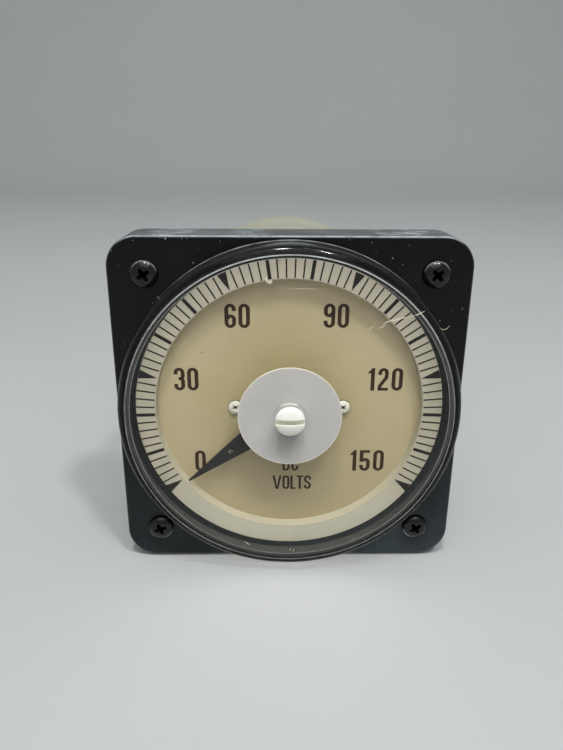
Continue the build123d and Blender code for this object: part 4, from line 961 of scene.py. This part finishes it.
    def letter_s(self):
        h = self.height
        path = [(self.right, h * 0.70)] + self.upper(0, 180) + [(self.left, h * 0.66)]
        path += [(self.left + self.rx * 0.35, h * 0.56), (self.right - self.rx * 0.35, h * 0.43)]
        self.stroke(path + [(self.right, h * 0.33)] + self.lower(0, -180) + [(self.left, h * 0.29)])

    def letter_d(self):
        straight = self.right - self.rx
        path = [(self.left, self.low), (straight, self.low)]
        path += bow(straight, self.base, self.rx, self.ry, -90, 0)
        path += bow(straight, self.top, self.rx, self.ry, 0, 90)
        self.stroke(path + [(self.left, self.high)], closed=True)

    def letter_c(self):
        path = [(self.right, self.height * 0.66)] + self.upper(0, 180) + self.lower(180, 360)
        self.stroke(path + [(self.right, self.height * 0.34)])


# Each character's shape and width
SHAPES = {
    "0": (Glyph.round_one, 3.5),
    "1": (Glyph.one, 2.0),
    "2": (Glyph.two, 3.3),
    "3": (Glyph.three, 3.4),
    "5": (Glyph.five, 3.45),
    "6": (Glyph.six, 3.5),
    "9": (Glyph.nine, 3.5),
    "C": (Glyph.letter_c, 2.35),
    "D": (Glyph.letter_d, 2.35),
    "L": (Glyph.letter_l, 1.75),
    "O": (Glyph.round_one, 2.35),
    "S": (Glyph.letter_s, 2.3),
    "T": (Glyph.letter_t, 2.2),
    "V": (Glyph.letter_v, 3.0),
}

# Height, stem and bar of the figures and of the letters
FIGURE_SIZES = (7.55, 1.2, 0.92)
LETTER_SIZES = (5.06, 0.74, 0.6)

# Each line of print with its lower left corner and the gap between its characters
NUMBERS = (
    ("0", -30.67, -23.08, 0.72),
    ("30", -36.16, 5.56, 0.75),
    ("60", -19.89, 25.95, 0.72),
    ("90", 10.2, 26.05, 0.72),
    ("120", 24.8, 5.5, 1.05),
    ("150", 20.3, -23.0, 1.05),
)
WORDS = (("VOLTS", -5.3, -29.8, 0.3), ("DC", -2.0, -22.85, 0.55))
ON_DIAL = (DIAL_FACE - 0.03, DIAL_FACE - 0.004)
PRINT = plain("print_brown", tone(50, 27, 5), 0.6, vary=0.25, patch=900, specular=0.05, grain=2600, bump=0.2)


def printed(lines, sizes):
    shells = []
    for text, x, z, gap in lines:
        for character in text:
            draw, width = SHAPES[character]
            glyph = Glyph(width, *sizes)
            draw(glyph)
            shells += glyph.solids(x, z, *ON_DIAL)
            x += width + gap
    return shells


made_of("dial_numerals", printed(NUMBERS, FIGURE_SIZES), PRINT)
made_of("dial_words", printed(WORDS, LETTER_SIZES), PRINT)

# Scratches on the cover: the width of each and its points
SCRATCHES = (
    (0.36, [(26.15, 29.93), (27.68, 30.91), (29.8, 31.42), (32.06, 32.01), (34.04, 32.46)]),
    (0.28, [(33.2, 32.2), (35.93, 32.91), (37.12, 33.5), (38.22, 34.09)]),
    (0.26, [(24.9, 29.0), (26.2, 29.3), (27.4, 30.1)]),
    (0.24, [(21.82, 28.43), (23.23, 29.03), (23.85, 29.92)]),
    (0.16, [(43.0, 29.1), (43.9, 28.5), (45.0, 28.8), (45.8, 29.9)]),
    (0.2, [(-14.6, -42.9), (-13.4, -43.9), (-12.6, -44.5)]),
    (0.12, [(-2.4, 40.4), (2.8, 40.45), (8.0, 40.4)]),
    (0.16, [(0.3, -46.9), (0.5, -46.2), (0.9, -45.8)]),
    (0.14, [(1.5, -47.0), (1.7, -46.4), (1.6, -45.9)]),
)
ON_COVER = (COVER_FRONT - 0.02, COVER_FRONT - 0.003)

# Crumbs of paint: a larger one at the ring's inner edge, a smaller one at its outer edge
CRUMBS = (
    [(-7.1, 42.2), (-6.6, 41.3), (-5.6, 41.6), (-5.4, 40.8), (-6.1, 40.3), (-7.2, 40.9), (-7.7, 41.9)],
    [(-3.6, 47.7), (-3.1, 47.5), (-2.8, 48.0), (-3.3, 48.3)],
)
ON_RING = (RING_FACE - 0.35, RING_FACE - 0.004)

# A brown speck on the dial, and a scraped arc near the root of the pointer
SPECK_RADIUS, SPECK_PLACE = 0.22, (-27.16, 18.02)
SCRAPE_PLACE, SCRAPE_REACH, SCRAPE_WIDTH = (-18.5, -14.4), (0.75, 0.5), 0.16
ON_POINTER = (POINTER_FACE - 0.02, POINTER_FACE - 0.003)
SCRATCH = plain("scratch_pale", tone(222, 214, 192), 0.7, vary=0.1, patch=1200, grain=3000, bump=0.3)


def sliver(points, width, front, back):
    """A thin mark along these points, pointed at both ends, as seen from the front."""
    count = len(points)
    left, right = [], []
    for index, (x, z) in enumerate(points):
        before, after = points[max(0, index - 1)], points[min(count - 1, index + 1)]
        length = hypot(after[0] - before[0], after[1] - before[1])
        nx, nz = (after[1] - before[1]) / length, -(after[0] - before[0]) / length
        share = index / (count - 1)
        half = width / 2 * max(0.12, 1 - (2 * share - 1) ** 2)
        left.append((x + nx * half, z + nz * half))
        right.append((x - nx * half, z - nz * half))
    return prism(left + right[::-1], front, back)


def marks_of_wear():
    scratches = [sliver(points, width, *ON_COVER) for width, points in SCRATCHES]
    made_of("cover_scratches", scratches, SCRATCH)
    made_of("paint_chips", [prism(outline, *ON_RING) for outline in CRUMBS], SCRATCH)
    made_of("dial_speck", [rod(SPECK_RADIUS, *ON_DIAL, SPECK_PLACE, sides=12)], PRINT)

    turns = [radians(turn) for turn in range(20, 281, 26)]
    (x, z), (rx, rz) = SCRAPE_PLACE, SCRAPE_REACH
    arc = [(x + rx * cos(turn), z + rz * sin(turn)) for turn in turns]
    scrape = sliver(arc, SCRAPE_WIDTH, *ON_POINTER)
    made_of("pointer_scrape", [scrape], SCRATCH, body="pointer_assembly")


marks_of_wear()

# Studio, in metres: the floor's front, the start and the radius of its sweep up, its top, half its width
FLOOR_FRONT, FLOOR_BACK, SWEEP, WALL_TOP, FLOOR_HALF = -1.6, 0.9, 0.5, 2.4, 2.2

# The depth in millimetres at which the case's rounded rear edge touches the floor
CASE_TOUCH = CASE_REAR - 1.2


def stage_floor():
    """A pale floor that touches the bezel's lower edge and the case, and sweeps up behind."""
    sweep = [radians(turn) for turn in range(6, 91, 6)]
    profile = [(FLOOR_FRONT, 0.0), (FLOOR_BACK, 0.0)]
    profile += [(FLOOR_BACK + SWEEP * sin(turn), SWEEP - SWEEP * cos(turn)) for turn in sweep]
    profile += [(FLOOR_BACK + SWEEP, WALL_TOP)]
    verts = [(x, y, z) for y, z in profile for x in (-FLOOR_HALF, FLOOR_HALF)]
    faces = [(2 * i, 2 * i + 1, 2 * i + 3, 2 * i + 2) for i in range(len(profile) - 1)]
    mesh = bpy.data.meshes.new("studio_floor")
    mesh.from_pydata(verts, [], faces)
    mesh.polygons.foreach_set("use_smooth", [True] * len(mesh.polygons))
    floor = placed("studio_floor", mesh)
    slope = atan((BEZEL_HALF - CASE_RADIUS) / CASE_TOUCH)
    floor.matrix_world = Matrix.Translation((0, 0, -BEZEL_HALF * MM)) @ Matrix.Rotation(slope, 4, "X")
    pale = tone(176, 178, 178)
    dress(floor, plain("floor_pale", pale, 0.6, vary=0.015, patch=6, specular=0.2, grain=300, bump=0.02))


def area_light(name, position, size, power, depth=None):
    """A lamp that looks at the dial. It isn't seen through the cover, whose rim would carry it round."""
    data = bpy.data.lights.new(name, "AREA")
    data.shape = "DISK" if depth is None else "RECTANGLE"
    data.size = size
    if depth is not None:
        data.size_y = depth
    data.energy = power
    lamp = placed(name, data)
    lamp.location = position
    lamp.rotation_euler = (-Vector(position)).to_track_quat("-Z", "Y").to_euler()
    lamp.visible_transmission = False


def soft_daylight():
    world = bpy.data.worlds.new("studio_world")
    bpy.context.scene.world = world
    world.use_nodes = True
    background = world.node_tree.nodes["Background"]
    background.inputs["Color"].default_value = (0.93, 0.97, 1.0, 1.0)
    background.inputs["Strength"].default_value = 0.4


stage_floor()
area_light("key_right", (0.34, -0.53, 1.08), 0.12, 5.4)
area_light("key_left", (-0.05, -0.47, 1.17), 0.12, 6.0)
area_light("wide_front", (0.0, -0.95, 1.25), 1.5, 6.9)
area_light("strip_above", (0.0, -0.2, 1.15), 1.6, 2.2, depth=0.035)
soft_daylight()

# Camera, from the photograph's own perspective: place in metres, angles in radians
CAMERA_PLACE = (-0.005507, -0.200528, 0.078957)
PITCH, ROLL, YAW = 0.349, 0.006, 0.016
FOCAL_PX, LONG_SIDE_PX = 637.46, 750
SENSOR_WIDTH = 36.0


def photo_camera():
    """A camera that looks ahead by its yaw and pitch, and is rolled about that line."""
    data = bpy.data.cameras.new("photo_camera")
    data.sensor_width = SENSOR_WIDTH
    data.lens = FOCAL_PX / LONG_SIDE_PX * SENSOR_WIDTH
    data.clip_start = 0.01
    data.clip_end = 20.0
    camera = placed("photo_camera", data)
    ahead = Vector((sin(YAW) * cos(PITCH), cos(YAW) * cos(PITCH), -sin(PITCH)))
    level = Vector((cos(YAW), -sin(YAW), 0))
    upward = level.cross(ahead)
    across = cos(ROLL) * level + sin(ROLL) * upward
    over = -sin(ROLL) * level + cos(ROLL) * upward
    turn = Matrix((across, over, -ahead)).transposed()
    camera.matrix_world = Matrix.Translation(CAMERA_PLACE) @ turn.to_4x4()
    return camera


bpy.context.scene.camera = photo_camera()
bpy.context.scene.view_settings.view_transform = "Standard"
